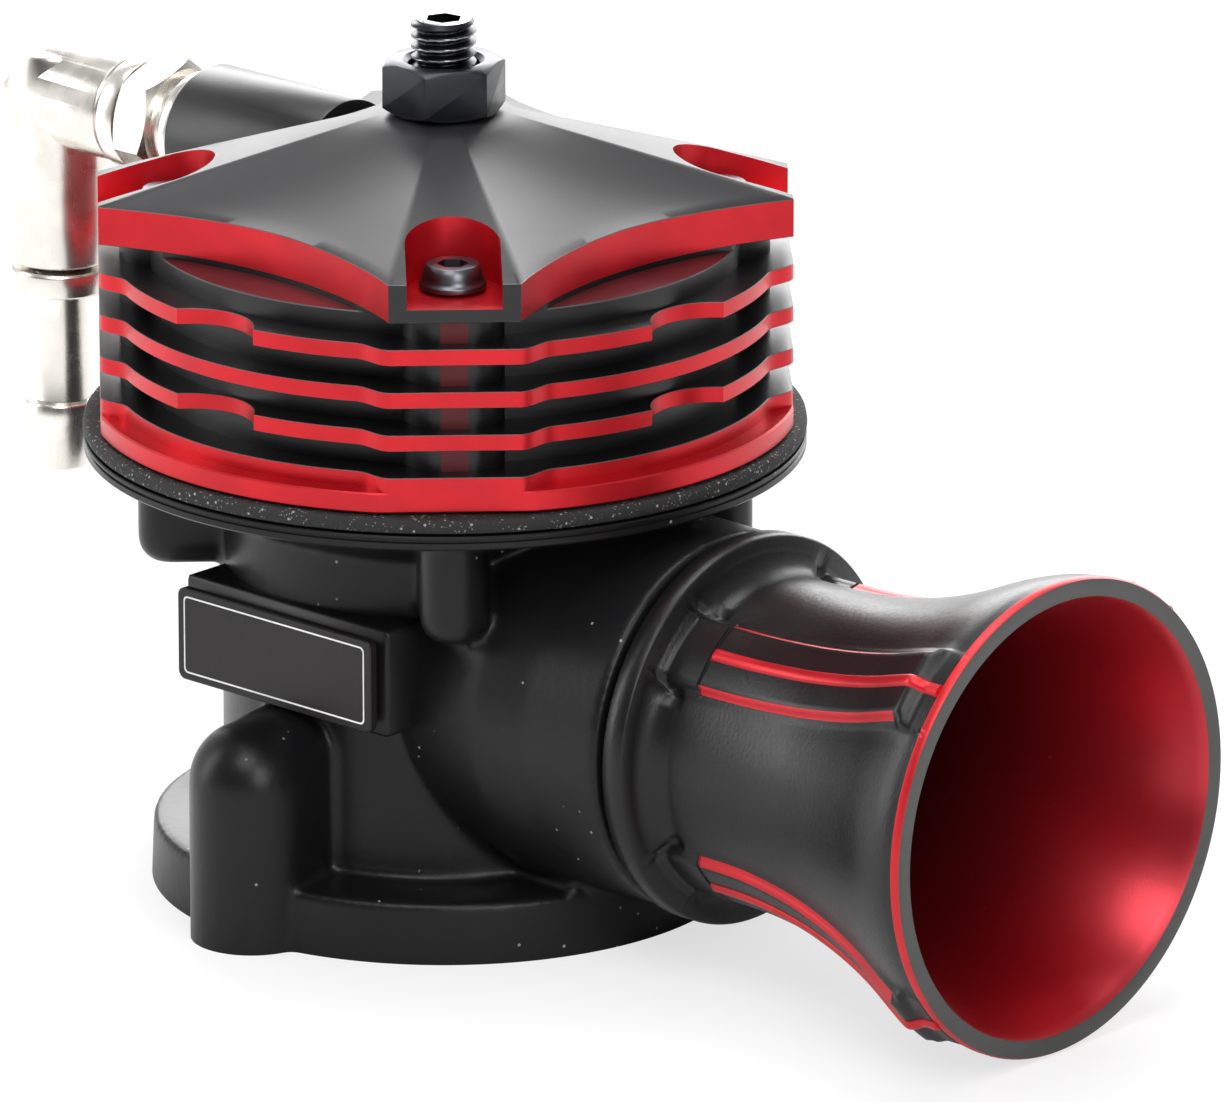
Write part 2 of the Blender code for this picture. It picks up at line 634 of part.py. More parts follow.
def main_body(parent, material):
    edge = FLANGE_RADIUS - FLANGE_DRAFT
    outside = [
        (0, 0),
        (FLANGE_RADIUS, 0),
        (edge, FLANGE_HEIGHT - FLANGE_EDGE),
        (edge - FLANGE_EDGE, FLANGE_HEIGHT),
        (NECK_RADIUS + NECK_FILLET, FLANGE_HEIGHT),
        (NECK_RADIUS + NECK_FILLET * 0.3, FLANGE_HEIGHT + NECK_FILLET * 0.3),
        (NECK_RADIUS, FLANGE_HEIGHT + NECK_FILLET),
        (NECK_RADIUS, NECK_TOP),
        (NECK_RADIUS + NECK_FILLET, NECK_TOP + NECK_FILLET),
        (RIM_RADIUS - RIM_UNDERSIDE, BODY_TOP - RIM_THICKNESS),
        (RIM_RADIUS, BODY_TOP - RIM_THICKNESS),
        (RIM_RADIUS, BODY_TOP),
        (0, BODY_TOP),
    ]
    piece = solid("main_body", turned(outside, FINE), parent, material)
    for corner in range(4):
        add(piece, f"body_boss_{corner + 1}", body_boss(), rotation=(0, 0, 45 + 90 * corner))
    for number, angle in enumerate(BOLT_ANGLES):
        add(piece, f"bolt_boss_{number + 1}", bolt_boss(), rotation=(0, 0, angle))
    pipe = [
        (0, OUTLET_PIPE_START),
        (OUTLET_PIPE_RADIUS, OUTLET_PIPE_START),
        (OUTLET_PIPE_RADIUS + OUTLET_PIPE_FLARE, NECK_RADIUS),
        (OUTLET_PIPE_RADIUS, SOCKET_START),
        (OUTLET_PIPE_RADIUS, OUTLET_PIPE_END - FLANGE_EDGE),
        (OUTLET_PIPE_RADIUS - FLANGE_EDGE, OUTLET_PIPE_END),
        (0, OUTLET_PIPE_END),
    ]
    add(piece, "outlet_pipe", turned(pipe, FINE), (0, 0, OUTLET_HEIGHT), (0, 90, 0))
    web_low = (WEB_START, -WEB_HALF_WIDTH, FLANGE_HEIGHT / 2)
    add(piece, "outlet_web", block(web_low, (WEB_REACH, WEB_HALF_WIDTH, WEB_TOP), PAD_EDGE))
    pad_low = (-PAD_HALF_WIDTH, -PAD_FACE, PAD_LOW)
    add(piece, "name_pad", block(pad_low, (PAD_HALF_WIDTH, -PAD_BACK, PAD_HIGH), PAD_EDGE))
    bush_bore = BUSH_RADIUS + GAP
    inside = [
        (0, -LEAD_IN),
        (INLET_RADIUS, -LEAD_IN),
        (INLET_RADIUS, SEAT_HEIGHT + SEAT_LIP),
        (INLET_RADIUS + SEAT_LIP_WIDTH, SEAT_HEIGHT + SEAT_LIP),
        (INLET_RADIUS + SEAT_LIP_WIDTH + SEAT_LIP, SEAT_HEIGHT),
        (CHAMBER_RADIUS, SEAT_HEIGHT),
        (CHAMBER_RADIUS, CHAMBER_TOP - CHAMBER_FILLET),
        (CHAMBER_RADIUS - CHAMBER_FILLET, CHAMBER_TOP),
        (bush_bore, CHAMBER_TOP),
        (bush_bore, DECK_TOP),
        (POOL_RADIUS - POOL_SLOPE * 1.5, DECK_TOP),
        (POOL_RADIUS, DECK_TOP + POOL_SLOPE),
        (POOL_RADIUS, BODY_TOP + LEAD_IN),
        (0, BODY_TOP + LEAD_IN),
    ]
    cut(piece, "body_inside", turned(inside, FINE))
    outlet = [
        (0, OUTLET_BORE_START),
        (OUTLET_BORE, OUTLET_BORE_START),
        (OUTLET_BORE, SOCKET_START),
        (SOCKET_RADIUS, SOCKET_START),
        (SOCKET_RADIUS, OUTLET_PIPE_END + LEAD_IN),
        (0, OUTLET_PIPE_END + LEAD_IN),
    ]
    cut(piece, "outlet_bore", turned(outlet, MEDIUM), (0, 0, OUTLET_HEIGHT), (0, 90, 0))
    half = BASE_SEAL_CORD / 2 + THIN_GAP
    groove = [
        (BASE_SEAL_RADIUS - half, -LEAD_IN),
        (BASE_SEAL_RADIUS + half, -LEAD_IN),
        (BASE_SEAL_RADIUS + half, BASE_SEAL_CORD + 2 * THIN_GAP),
        (BASE_SEAL_RADIUS - half, BASE_SEAL_CORD + 2 * THIN_GAP),
    ]
    cut(piece, "base_groove", turned(groove, FINE))
    for corner in range(4):
        place = (*polar(SCREW_CIRCLE_RADIUS, 45 + 90 * corner), 0)
        hole = [polar(SCREW_HOLE_RADIUS, 360 * i / SMALL) for i in range(SMALL)]
        cut(piece, f"screw_hole_{corner + 1}", prism(hole, SCREW_TIP_HEIGHT - GAP, BODY_TOP + LEAD_IN), place)
    for number, angle in enumerate(BOLT_ANGLES):
        place = (*polar(BOLT_CIRCLE_RADIUS, angle), 0)
        hole = [polar(BOLT_HOLE_RADIUS, 360 * i / SMALL) for i in range(SMALL)]
        cut(piece, f"bolt_hole_{number + 1}", prism(hole, -LEAD_IN, BOLT_HOLE_DEPTH), place)
    return piece


def cord_ring(radius, cord, height, turns=MEDIUM, sides=8):
    """The profile of a round rubber ring, swept about the axis."""
    profile = []
    for i in range(sides):
        x, y = polar(cord / 2, 360 * i / sides)
        profile.append((radius + x, height + y))
    return turned(profile, turns)


def cap_screw(number, parent, material):
    place = (*polar(SCREW_CIRCLE_RADIUS, 45 + 90 * number), 0)
    seat = POCKET_FLOOR + GAP
    dome_start = seat + SCREW_FLANGE_HEIGHT
    top = dome_start + SCREW_DOME_HEIGHT
    profile = [
        (0, SCREW_TIP_HEIGHT),
        (SCREW_RADIUS - GAP, SCREW_TIP_HEIGHT),
        (SCREW_RADIUS, SCREW_TIP_HEIGHT + GAP),
        (SCREW_RADIUS, seat),
        (SCREW_FLANGE_RADIUS, seat),
        (SCREW_FLANGE_RADIUS, dome_start),
        (SCREW_DOME_RADIUS + GAP / 2, dome_start + GAP / 2),
        (SCREW_DOME_RADIUS, top - SCREW_DOME_HEIGHT / 3),
        (SCREW_DOME_RADIUS - GAP, top),
        (0, top),
    ]
    piece = solid(f"cap_screw_{number + 1}", turned(profile, SMALL), parent, material, place)
    key = prism(hexagon(SCREW_KEY), top - SCREW_KEY_DEPTH, top + LEAD_IN)
    cut(piece, f"cap_screw_key_{number + 1}", key, place)
    return piece


def nut(name, across_flats, low, high, bore, parent, material, place, turn=0.0):
    """A hexagon nut with both ends chamfered and a plain bore for its thread."""
    points = []
    for end, shoulder in ((low, low + NUT_CHAMFER), (high, high - NUT_CHAMFER)):
        points += ring_points(across_flats / 2 - NUT_LAND, 0, end)
        points += [(x, y, shoulder) for x, y in hexagon(across_flats, turn)]
    piece = solid(name, hull(points), parent, material, place)
    hole = [polar(bore, 360 * i / SMALL) for i in range(SMALL)]
    cut(piece, name + "_bore", prism(hole, low - LEAD_IN, high + LEAD_IN), place)
    return piece


def set_screw(parent, material):
    edge = GAP + THIN_GAP
    profile = [
        (0, SET_SCREW_TIP),
        (SET_SCREW_RADIUS - edge, SET_SCREW_TIP),
        (SET_SCREW_RADIUS, SET_SCREW_TIP + edge),
        (SET_SCREW_RADIUS, SET_SCREW_TOP - edge),
        (SET_SCREW_RADIUS - edge, SET_SCREW_TOP),
        (0, SET_SCREW_TOP),
    ]
    piece = solid("set_screw", turned(profile, SMALL), parent, material)
    key = prism(hexagon(SET_SCREW_KEY), SET_SCREW_TOP - SET_SCREW_KEY_DEPTH, SET_SCREW_TOP + LEAD_IN)
    cut(piece, "set_screw_key", key)
    return piece


def spring_seat(parent, material):
    tip_bore = SET_SCREW_RADIUS + GAP
    recess = SET_SCREW_TIP - GAP
    profile = [
        (0, SPRING_SEAT_HEIGHT - SPRING_SPIGOT),
        (SPRING_SPIGOT_RADIUS, SPRING_SEAT_HEIGHT - SPRING_SPIGOT),
        (SPRING_SPIGOT_RADIUS, SPRING_SEAT_HEIGHT),
        (SPRING_SEAT_RADIUS, SPRING_SEAT_HEIGHT),
        (SPRING_SEAT_RADIUS, SPRING_SEAT_TOP - GAP),
        (SPRING_SEAT_RADIUS - GAP, SPRING_SEAT_TOP),
        (tip_bore, SPRING_SEAT_TOP),
        (tip_bore, recess),
        (0, recess),
    ]
    return solid("spring_seat", turned(profile, MEDIUM), parent, material)


def main_spring(parent, material):
    """A helix with closed ends: the pitch is all in the live turns between them."""
    low = UPPER_PLATE_TOP + GAP + WIRE_RADIUS
    high = SPRING_SEAT_HEIGHT - GAP - WIRE_RADIUS
    dead_rise = 2 * WIRE_RADIUS * SPRING_DEAD_TURNS + GAP
    live_turns = SPRING_TURNS - 2 * SPRING_DEAD_TURNS
    live_rise = high - low - 2 * dead_rise
    curve = bpy.data.curves.new("main_spring", "CURVE")
    curve.dimensions = "3D"
    curve.bevel_depth = WIRE_RADIUS
    curve.bevel_resolution = 2
    curve.use_fill_caps = True
    spline = curve.splines.new("POLY")
    count = round(SPRING_TURNS * SPRING_POINTS)
    spline.points.add(count)
    for i in range(count + 1):
        turn = SPRING_TURNS * i / count
        live = min(max(turn - SPRING_DEAD_TURNS, 0), live_turns)
        dead = turn - live
        height = low + dead_rise * dead / SPRING_DEAD_TURNS + live_rise * live / live_turns
        x, y = polar(SPRING_MEAN_RADIUS, 360 * turn)
        spline.points[i].co = (x, y, height, 1)
    obj = bpy.data.objects.new("main_spring", curve)
    bpy.context.scene.collection.objects.link(obj)
    obj.parent = parent
    curve.materials.append(material)
    return obj


def diaphragm(parent, material):
    """A moulded sheet: a flat rim, one rolled fold and a flat middle."""
    half = DIAPHRAGM_THICKNESS / 2
    middle = DIAPHRAGM_TOP - half
    upper = [(THREAD_CLEARANCE, DIAPHRAGM_TOP)]
    lower = [(THREAD_CLEARANCE, DIAPHRAGM_BOTTOM)]
    width = ROLL_OUTER - ROLL_INNER
    for i in range(ROLL_POINTS):
        t = i / (ROLL_POINTS - 1)
        radius = ROLL_INNER + width * t
        height = middle - ROLL_DEPTH * math.sin(math.pi * t) ** 2
        slope = -ROLL_DEPTH * math.pi * math.sin(2 * math.pi * t) / width
        length = math.hypot(1, slope)
        upper.append((radius - half * slope / length, height + half / length))
        lower.append((radius + half * slope / length, height - half / length))
    upper.append((RIM_RADIUS, DIAPHRAGM_TOP))
    lower.append((RIM_RADIUS, DIAPHRAGM_BOTTOM))
    piece = solid("diaphragm", turned(lower + upper[::-1], FINE), parent, material)
    for corner in range(4):
        place = (*polar(SCREW_CIRCLE_RADIUS, 45 + 90 * corner), 0)
        hole = [polar(SCREW_HOLE_RADIUS, 360 * i / SMALL) for i in range(SMALL)]
        low = DIAPHRAGM_BOTTOM - LEAD_IN
        cut(piece, f"diaphragm_hole_{corner + 1}", prism(hole, low, DIAPHRAGM_TOP + LEAD_IN), place)
    return piece


def backing_plates(parent, material):
    edge = BACKING_RADIUS - GAP
    guide = SPRING_GUIDE_RADIUS
    upper = [
        (THREAD_CLEARANCE, UPPER_PLATE_BOTTOM),
        (edge, UPPER_PLATE_BOTTOM),
        (BACKING_RADIUS, UPPER_PLATE_BOTTOM + GAP),
        (BACKING_RADIUS, UPPER_PLATE_TOP),
        (guide, UPPER_PLATE_TOP),
        (guide, UPPER_PLATE_TOP + SPRING_GUIDE_HEIGHT),
        (guide - SPRING_GUIDE_WALL, UPPER_PLATE_TOP + SPRING_GUIDE_HEIGHT),
        (guide - SPRING_GUIDE_WALL, UPPER_PLATE_TOP),
        (THREAD_CLEARANCE, UPPER_PLATE_TOP),
    ]
    solid("upper_plate", turned(upper, MEDIUM), parent, material)
    lower = [
        (THREAD_CLEARANCE, LOWER_PLATE_BOTTOM),
        (BACKING_RADIUS, LOWER_PLATE_BOTTOM),
        (BACKING_RADIUS, LOWER_PLATE_TOP - GAP),
        (edge, LOWER_PLATE_TOP),
        (THREAD_CLEARANCE, LOWER_PLATE_TOP),
    ]
    solid("lower_plate", turned(lower, MEDIUM), parent, material)


def valve_stem(parent, material):
    low = POPPET_BOTTOM - GAP - POPPET_NUT_HEIGHT - STEM_END
    high = STEM_NUT_BOTTOM + STEM_NUT_HEIGHT + STEM_END
    profile = [
        (0, low),
        (STEM_THREAD_RADIUS - GAP, low),
        (STEM_THREAD_RADIUS, low + GAP),
        (STEM_THREAD_RADIUS, POPPET_HUB_TOP + GAP),
        (STEM_RADIUS, POPPET_HUB_TOP + GAP),
        (STEM_RADIUS, LOWER_PLATE_BOTTOM - GAP),
        (STEM_THREAD_RADIUS, LOWER_PLATE_BOTTOM - GAP),
        (STEM_THREAD_RADIUS, high - GAP),
        (STEM_THREAD_RADIUS - GAP, high),
        (0, high),
    ]
    return solid("valve_stem", turned(profile, SMALL), parent, material)


def valve_poppet(parent, material, rubber):
    groove = SEAL_THICKNESS - SEAL_PROUD + THIN_GAP
    profile = [
        (THREAD_CLEARANCE, POPPET_BOTTOM),
        (SEAL_INNER - THIN_GAP, POPPET_BOTTOM),
        (SEAL_INNER - THIN_GAP, POPPET_BOTTOM + groove),
        (SEAL_OUTER + THIN_GAP, POPPET_BOTTOM + groove),
        (SEAL_OUTER + THIN_GAP, POPPET_BOTTOM),
        (POPPET_RADIUS, POPPET_BOTTOM),
        (POPPET_RADIUS, POPPET_TOP - GAP),
        (POPPET_RADIUS - GAP, POPPET_TOP),
        (POPPET_HUB_RADIUS, POPPET_TOP),
        (POPPET_HUB_RADIUS, POPPET_HUB_TOP),
        (THREAD_CLEARANCE, POPPET_HUB_TOP),
    ]
    solid("valve_poppet", turned(profile, MEDIUM), parent, material)
    seal = [
        (SEAL_INNER, SEAL_BOTTOM),
        (SEAL_OUTER, SEAL_BOTTOM),
        (SEAL_OUTER, SEAL_BOTTOM + SEAL_THICKNESS),
        (SEAL_INNER, SEAL_BOTTOM + SEAL_THICKNESS),
    ]
    solid("poppet_seal", turned(seal, MEDIUM), parent, rubber)


def guide_bush(parent, material):
    bore = STEM_RADIUS + GAP
    flange_low = DECK_TOP + THIN_GAP
    profile = [
        (bore, CHAMBER_TOP + GAP),
        (BUSH_RADIUS, CHAMBER_TOP + GAP),
        (BUSH_RADIUS, flange_low),
        (BUSH_FLANGE_RADIUS, flange_low),
        (BUSH_FLANGE_RADIUS, flange_low + BUSH_FLANGE),
        (bore, flange_low + BUSH_FLANGE),
    ]
    return solid("guide_bush", turned(profile, SMALL), parent, material)


def nameplate(parent, material, tape_material):
    plate = rounded_rectangle(PLATE_HALF_WIDTH, PLATE_HALF_HEIGHT, PLATE_CORNER)
    inset_width = PLATE_HALF_WIDTH - TAPE_INSET
    inset_height = PLATE_HALF_HEIGHT - TAPE_INSET
    tape = rounded_rectangle(inset_width, inset_height, PLATE_CORNER)
    tape_back = PAD_FACE + THIN_GAP
    tape_front = tape_back + TAPE_THICKNESS
    back = tape_front + THIN_GAP
    place = (0, 0, PLATE_CENTRE)
    solid("nameplate_tape", prism(tape, tape_back, tape_front), parent, tape_material, place, (90, 0, 0))
    face = prism(plate, back, back + PLATE_THICKNESS)
    return solid("nameplate", face, parent, material, place, (90, 0, 0))


def horn_outside(along):
    """Radius of the funnel's recessed outside: a straight waist, then a flare to the mouth."""
    flare_start = WAIST_START + WAIST_FLAT
    flare_end = MOUTH_X - MOUTH_RIM_LENGTH
    t = min(max((along - flare_start) / (flare_end - flare_start), 0), 1)
    waist = WAIST_RADIUS + (WAIST_FLAT * 0.055) * min(max((along - WAIST_START) / WAIST_FLAT, 0), 1)
    return waist + (MOUTH_RADIUS - waist) * (0.35 * t + 0.65 * t * t)


def horn_inside(along):
    """Radius of the flared bore."""
    t = min(max((along - COLLAR_END) / (MOUTH_X - COLLAR_END), 0), 1)
    return OUTLET_BORE + (MOUTH_INNER_RADIUS - OUTLET_BORE) * (0.1 * t + 0.9 * t**2.2)


def outlet_funnel(parent, material):
    spigot_start = SOCKET_START + GAP
    groove_end = FUNNEL_SEAL_START + FUNNEL_SEAL_WIDTH
    groove_floor = SPIGOT_GAP_RADIUS - FUNNEL_SEAL_DEPTH
    shoulder = OUTLET_PIPE_END + GAP
    profile = [
        (OUTLET_BORE, spigot_start),
        (SPIGOT_GAP_RADIUS, spigot_start),
        (SPIGOT_GAP_RADIUS, FUNNEL_SEAL_START),
        (groove_floor, FUNNEL_SEAL_START),
        (groove_floor, groove_end),
        (SPIGOT_GAP_RADIUS, groove_end),
        (SPIGOT_GAP_RADIUS, shoulder),
        (COLLAR_GROOVE_RADIUS, shoulder),
        (COLLAR_GROOVE_RADIUS, COLLAR_START),
        (COLLAR_RADIUS - COLLAR_EDGE, COLLAR_START),
        (COLLAR_RADIUS, COLLAR_START + COLLAR_EDGE),
        (COLLAR_RADIUS, COLLAR_END - COLLAR_EDGE),
        (COLLAR_RADIUS - COLLAR_EDGE, COLLAR_END),
        (WAIST_RADIUS + 0.0012, COLLAR_END),
        (WAIST_RADIUS + 0.0004, COLLAR_END + 0.0005),
    ]
    outside_end = MOUTH_X - MOUTH_RIM_LENGTH
    for i in range(HORN_STEPS + 1):
        along = WAIST_START + (outside_end - WAIST_START) * i / HORN_STEPS
        profile.append((horn_outside(along), along))
    profile += [
        (MOUTH_RADIUS, MOUTH_X - COLLAR_EDGE),
        (MOUTH_RADIUS - COLLAR_EDGE, MOUTH_X),
        (MOUTH_INNER_RADIUS, MOUTH_X),
    ]
    for i in range(1, BORE_STEPS):
        along = MOUTH_X + (COLLAR_END - MOUTH_X) * i / BORE_STEPS
        profile.append((horn_inside(along), along))
    profile.append((OUTLET_BORE, COLLAR_END))
    place = (0, 0, OUTLET_HEIGHT)
    piece = solid("outlet_funnel", turned(profile, FINE), parent, material, place, (0, 90, 0))
    ridge = []
    for i in range(BORE_STEPS + 1):
        t = i / BORE_STEPS
        along = RIB_START + (RIB_END - RIB_START) * t
        ridge.append((horn_outside(along) + RIB_PROUD + (RIB_PROUD_END - RIB_PROUD) * t, along))
    root = [(horn_outside(along) - RIB_PROUD, along) for _, along in reversed(ridge)]
    for number, angle in enumerate(RIB_ANGLES):
        rib = sector(ridge + root, angle, RIB_HALF_ANGLE, RIB_STEPS)
        add(piece, f"funnel_rib_{number + 1}", rib, place, (0, 90, 0))
    return piece


def port_fitting(parent, swivel, nickel, rubber):
    """The vacuum fitting: washer, adaptor, swivelling elbow, its seal and the hose barb."""
    centre = (0, 0, PORT_HEIGHT)
    outward = (0, -90, 0)
    washer = [
        (THREAD_BORE_RADIUS, WASHER_START),
        (WASHER_RADIUS, WASHER_START),
        (WASHER_RADIUS, WASHER_END),
        (THREAD_BORE_RADIUS, WASHER_END),
    ]
    solid("port_washer", turned(washer, MEDIUM), parent, nickel, centre, outward)
    thread_start = PORT_THREAD_END + GAP
    spigot_end = ADAPTOR_HEX_END + ADAPTOR_SPIGOT
    tube = [
        (PORT_PASSAGE_RADIUS, thread_start),
        (THREAD_RADIUS, thread_start),
        (THREAD_RADIUS, ADAPTOR_START),
        (ADAPTOR_NECK_RADIUS, ADAPTOR_START),
        (ADAPTOR_NECK_RADIUS, ADAPTOR_HEX_START + GAP),
        (THREAD_RADIUS, ADAPTOR_HEX_START + GAP),
        (THREAD_RADIUS, spigot_end),
        (PORT_PASSAGE_RADIUS, spigot_end),
    ]
    adaptor = solid("port_adaptor", turned(tube, MEDIUM), parent, nickel, centre, outward)
    ring = prism(hexagon(ADAPTOR_HEX_KEY, 12.0), ADAPTOR_HEX_START, ADAPTOR_HEX_END)
    add(adaptor, "adaptor_hex", ring, centre, outward)
    hole = [polar(PORT_PASSAGE_RADIUS, 360 * i / MEDIUM) for i in range(MEDIUM)]
    low = ADAPTOR_HEX_START - LEAD_IN
    cut(adaptor, "adaptor_bore", prism(hole, low, ADAPTOR_HEX_END + LEAD_IN), centre, outward)

    collar_end = ELBOW_START + ELBOW_COLLAR
    arm = [
        (0, ELBOW_START),
        (ELBOW_COLLAR_RADIUS, ELBOW_START),
        (ELBOW_COLLAR_RADIUS, collar_end - THIN_GAP),
        (ELBOW_RADIUS, collar_end),
        (ELBOW_RADIUS, ELBOW_END_X - ELBOW_CHAMFER),
        (ELBOW_RADIUS - ELBOW_CHAMFER, ELBOW_END_X),
        (0, ELBOW_END_X),
    ]
    elbow = solid("hose_elbow", turned(arm, MEDIUM), swivel, nickel, (0, 0, 0), outward)
    leg_top = PORT_HEIGHT
    leg = [
        (0, LEG_FOOT),
        (LEG_RADIUS - GAP, LEG_FOOT),
        (LEG_RADIUS, LEG_FOOT + GAP),
        (LEG_RADIUS, leg_top),
        (0, leg_top),
    ]
    leg_place = (-ELBOW_LEG_X, 0, -PORT_HEIGHT)
    add(elbow, "elbow_leg", turned(leg, MEDIUM), leg_place)
    seal_place = ELBOW_START + ELBOW_COLLAR / 2
    groove_half = SWIVEL_SEAL_CORD / 2 + THIN_GAP
    groove_floor = THREAD_BORE_RADIUS + SWIVEL_SEAL_CORD
    arm_bore = [
        (0, ELBOW_START - LEAD_IN),
        (THREAD_BORE_RADIUS, ELBOW_START - LEAD_IN),
        (THREAD_BORE_RADIUS, seal_place - groove_half),
        (groove_floor, seal_place - groove_half),
        (groove_floor, seal_place + groove_half),
        (THREAD_BORE_RADIUS, seal_place + groove_half),
        (THREAD_BORE_RADIUS, spigot_end + GAP),
        (FITTING_BORE_RADIUS, spigot_end + GAP),
        (FITTING_BORE_RADIUS, ELBOW_LEG_X + LEAD_IN),
        (0, ELBOW_LEG_X + LEAD_IN),
    ]
    cut(elbow, "elbow_arm_bore", turned(arm_bore, SMALL), (0, 0, 0), outward)
    thread_top = BARB_HEX_TOP + BARB_THREAD
    leg_bore = [
        (0, LEG_FOOT - LEAD_IN),
        (THREAD_BORE_RADIUS, LEG_FOOT - LEAD_IN),
        (THREAD_BORE_RADIUS, thread_top + GAP),
        (FITTING_BORE_RADIUS, thread_top + GAP),
        (FITTING_BORE_RADIUS, PORT_HEIGHT),
        (0, PORT_HEIGHT),
    ]
    cut(elbow, "elbow_leg_bore", turned(leg_bore, SMALL), leg_place)
    seal_radius = THREAD_BORE_RADIUS + SWIVEL_SEAL_CORD / 2 - THIN_GAP / 2
    seal = cord_ring(seal_radius, SWIVEL_SEAL_CORD - THIN_GAP, seal_place, SMALL, 8)
    solid("swivel_seal", seal, swivel, rubber, (0, 0, 0), outward)

    barb = [
        (BARB_BORE_RADIUS, BARB_TIP),
        (BARB_TIP_RADIUS - THIN_GAP, BARB_TIP),
        (BARB_TIP_RADIUS, BARB_TIP + THIN_GAP),
        (BARB_RADIUS - THIN_GAP, BARB_SHOULDER),
        (BARB_RADIUS, BARB_LEDGE - THIN_GAP),
        (BARB_RADIUS - THIN_GAP, BARB_LEDGE),
        (BARB_TUBE_RADIUS, BARB_LEDGE),
        (BARB_TUBE_RADIUS, BARB_HEX_TOP - GAP),
        (THREAD_RADIUS, BARB_HEX_TOP - GAP),
        (THREAD_RADIUS, thread_top),
        (BARB_BORE_RADIUS, thread_top),
    ]
    nipple = solid("hose_barb", turned(barb, MEDIUM), swivel, nickel, leg_place)
    ring = prism(hexagon(BARB_HEX_KEY, 30.0), BARB_HEX_BOTTOM, BARB_HEX_TOP)
    add(nipple, "barb_hex", ring, leg_place)
    hole = [polar(BARB_BORE_RADIUS, 360 * i / MEDIUM) for i in range(MEDIUM)]
    low = BARB_HEX_BOTTOM - LEAD_IN
    cut(nipple, "barb_bore", prism(hole, low, BARB_HEX_TOP + LEAD_IN), leg_place)


def empty(name, parent, location):
    obj = bpy.data.objects.new(name, None)
    bpy.context.scene.collection.objects.link(obj)
    obj.parent = parent
    obj.location = location
    return obj


def build():
    clear_scene()
    cast_black = finish("cast_black", (0.012, 0.012, 0.013), 0.42, 0.35)
    anodised_black = finish("anodised_black", (0.014, 0.014, 0.016), 0.32, 0.6)
    red = finish("anodised_red", (0.42, 0.012, 0.018), 0.3, 0.9)
    steel_black = finish("blackened_steel", (0.02, 0.02, 0.022), 0.38, 0.8)
    steel = finish("bright_steel", (0.55, 0.55, 0.55), 0.3, 1.0)
    bronze = finish("bronze", (0.45, 0.27, 0.12), 0.4, 1.0)
    aluminium = finish("plain_aluminium", (0.6, 0.6, 0.61), 0.4, 1.0)
    nickel = finish("nickel", (0.72, 0.68, 0.6), 0.2, 1.0)
    rubber = finish("rubber", (0.015, 0.015, 0.015), 0.8, 0.0)
    plate_black = finish("plate_black", (0.018, 0.017, 0.018), 0.45, 0.0)

    axis = empty("valve_axis", None, (AXIS_X, 0, 0))
    swivel = empty("swivel_axis", axis, (0, 0, PORT_HEIGHT))

    main_body(axis, cast_black)
    base_seal = BASE_SEAL_CORD / 2 + THIN_GAP
    solid("base_seal", cord_ring(BASE_SEAL_RADIUS, BASE_SEAL_CORD, base_seal), axis, rubber)
    cap(axis, anodised_black)
    for number in range(4):
        cap_screw(number, axis, steel_black)
    origin = (0, 0, 0)
    nut_low = NUT_SEAT_HEIGHT + THIN_GAP
    nut_bore = SET_SCREW_RADIUS + GAP
    nut_top = nut_low + LOCK_NUT_HEIGHT
    nut("lock_nut", LOCK_NUT_KEY, nut_low, nut_top, nut_bore, axis, steel_black, origin, LOCK_NUT_TURN)
    set_screw(axis, steel_black)
    spring_seat(axis, aluminium)
    main_spring(axis, steel)
    diaphragm(axis, rubber)
    backing_plates(axis, aluminium)
    valve_stem(axis, steel)
    top = STEM_NUT_BOTTOM + STEM_NUT_HEIGHT
    nut("stem_nut", STEM_NUT_KEY, STEM_NUT_BOTTOM, top, THREAD_CLEARANCE, axis, steel, origin)
    high = POPPET_BOTTOM - GAP
    low = high - POPPET_NUT_HEIGHT
    nut("poppet_nut", STEM_NUT_KEY, low, high, THREAD_CLEARANCE, axis, steel, origin)
    valve_poppet(axis, aluminium, rubber)
    guide_bush(axis, bronze)
    nameplate(axis, plate_black, rubber)
    outlet_funnel(axis, red)
    groove_floor = SPIGOT_GAP_RADIUS - FUNNEL_SEAL_DEPTH
    seal_radius = (groove_floor + SOCKET_RADIUS) / 2
    seal_place = FUNNEL_SEAL_START + FUNNEL_SEAL_WIDTH / 2
    ring = cord_ring(seal_radius, FUNNEL_SEAL_CORD, seal_place, MEDIUM, 8)
    solid("funnel_seal", ring, axis, rubber, (0, 0, OUTLET_HEIGHT), (0, 90, 0))
    port_fitting(axis, swivel, nickel, rubber)


build()
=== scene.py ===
"""Looks of a blow off valve: black and red square cap with fins, cast body, ribbed outlet funnel,
nickel hose elbow. Sizes are in millimetres about the valve axis, and MM turns them into metres."""

import math

import bmesh
import bpy
from mathutils import Matrix, Vector


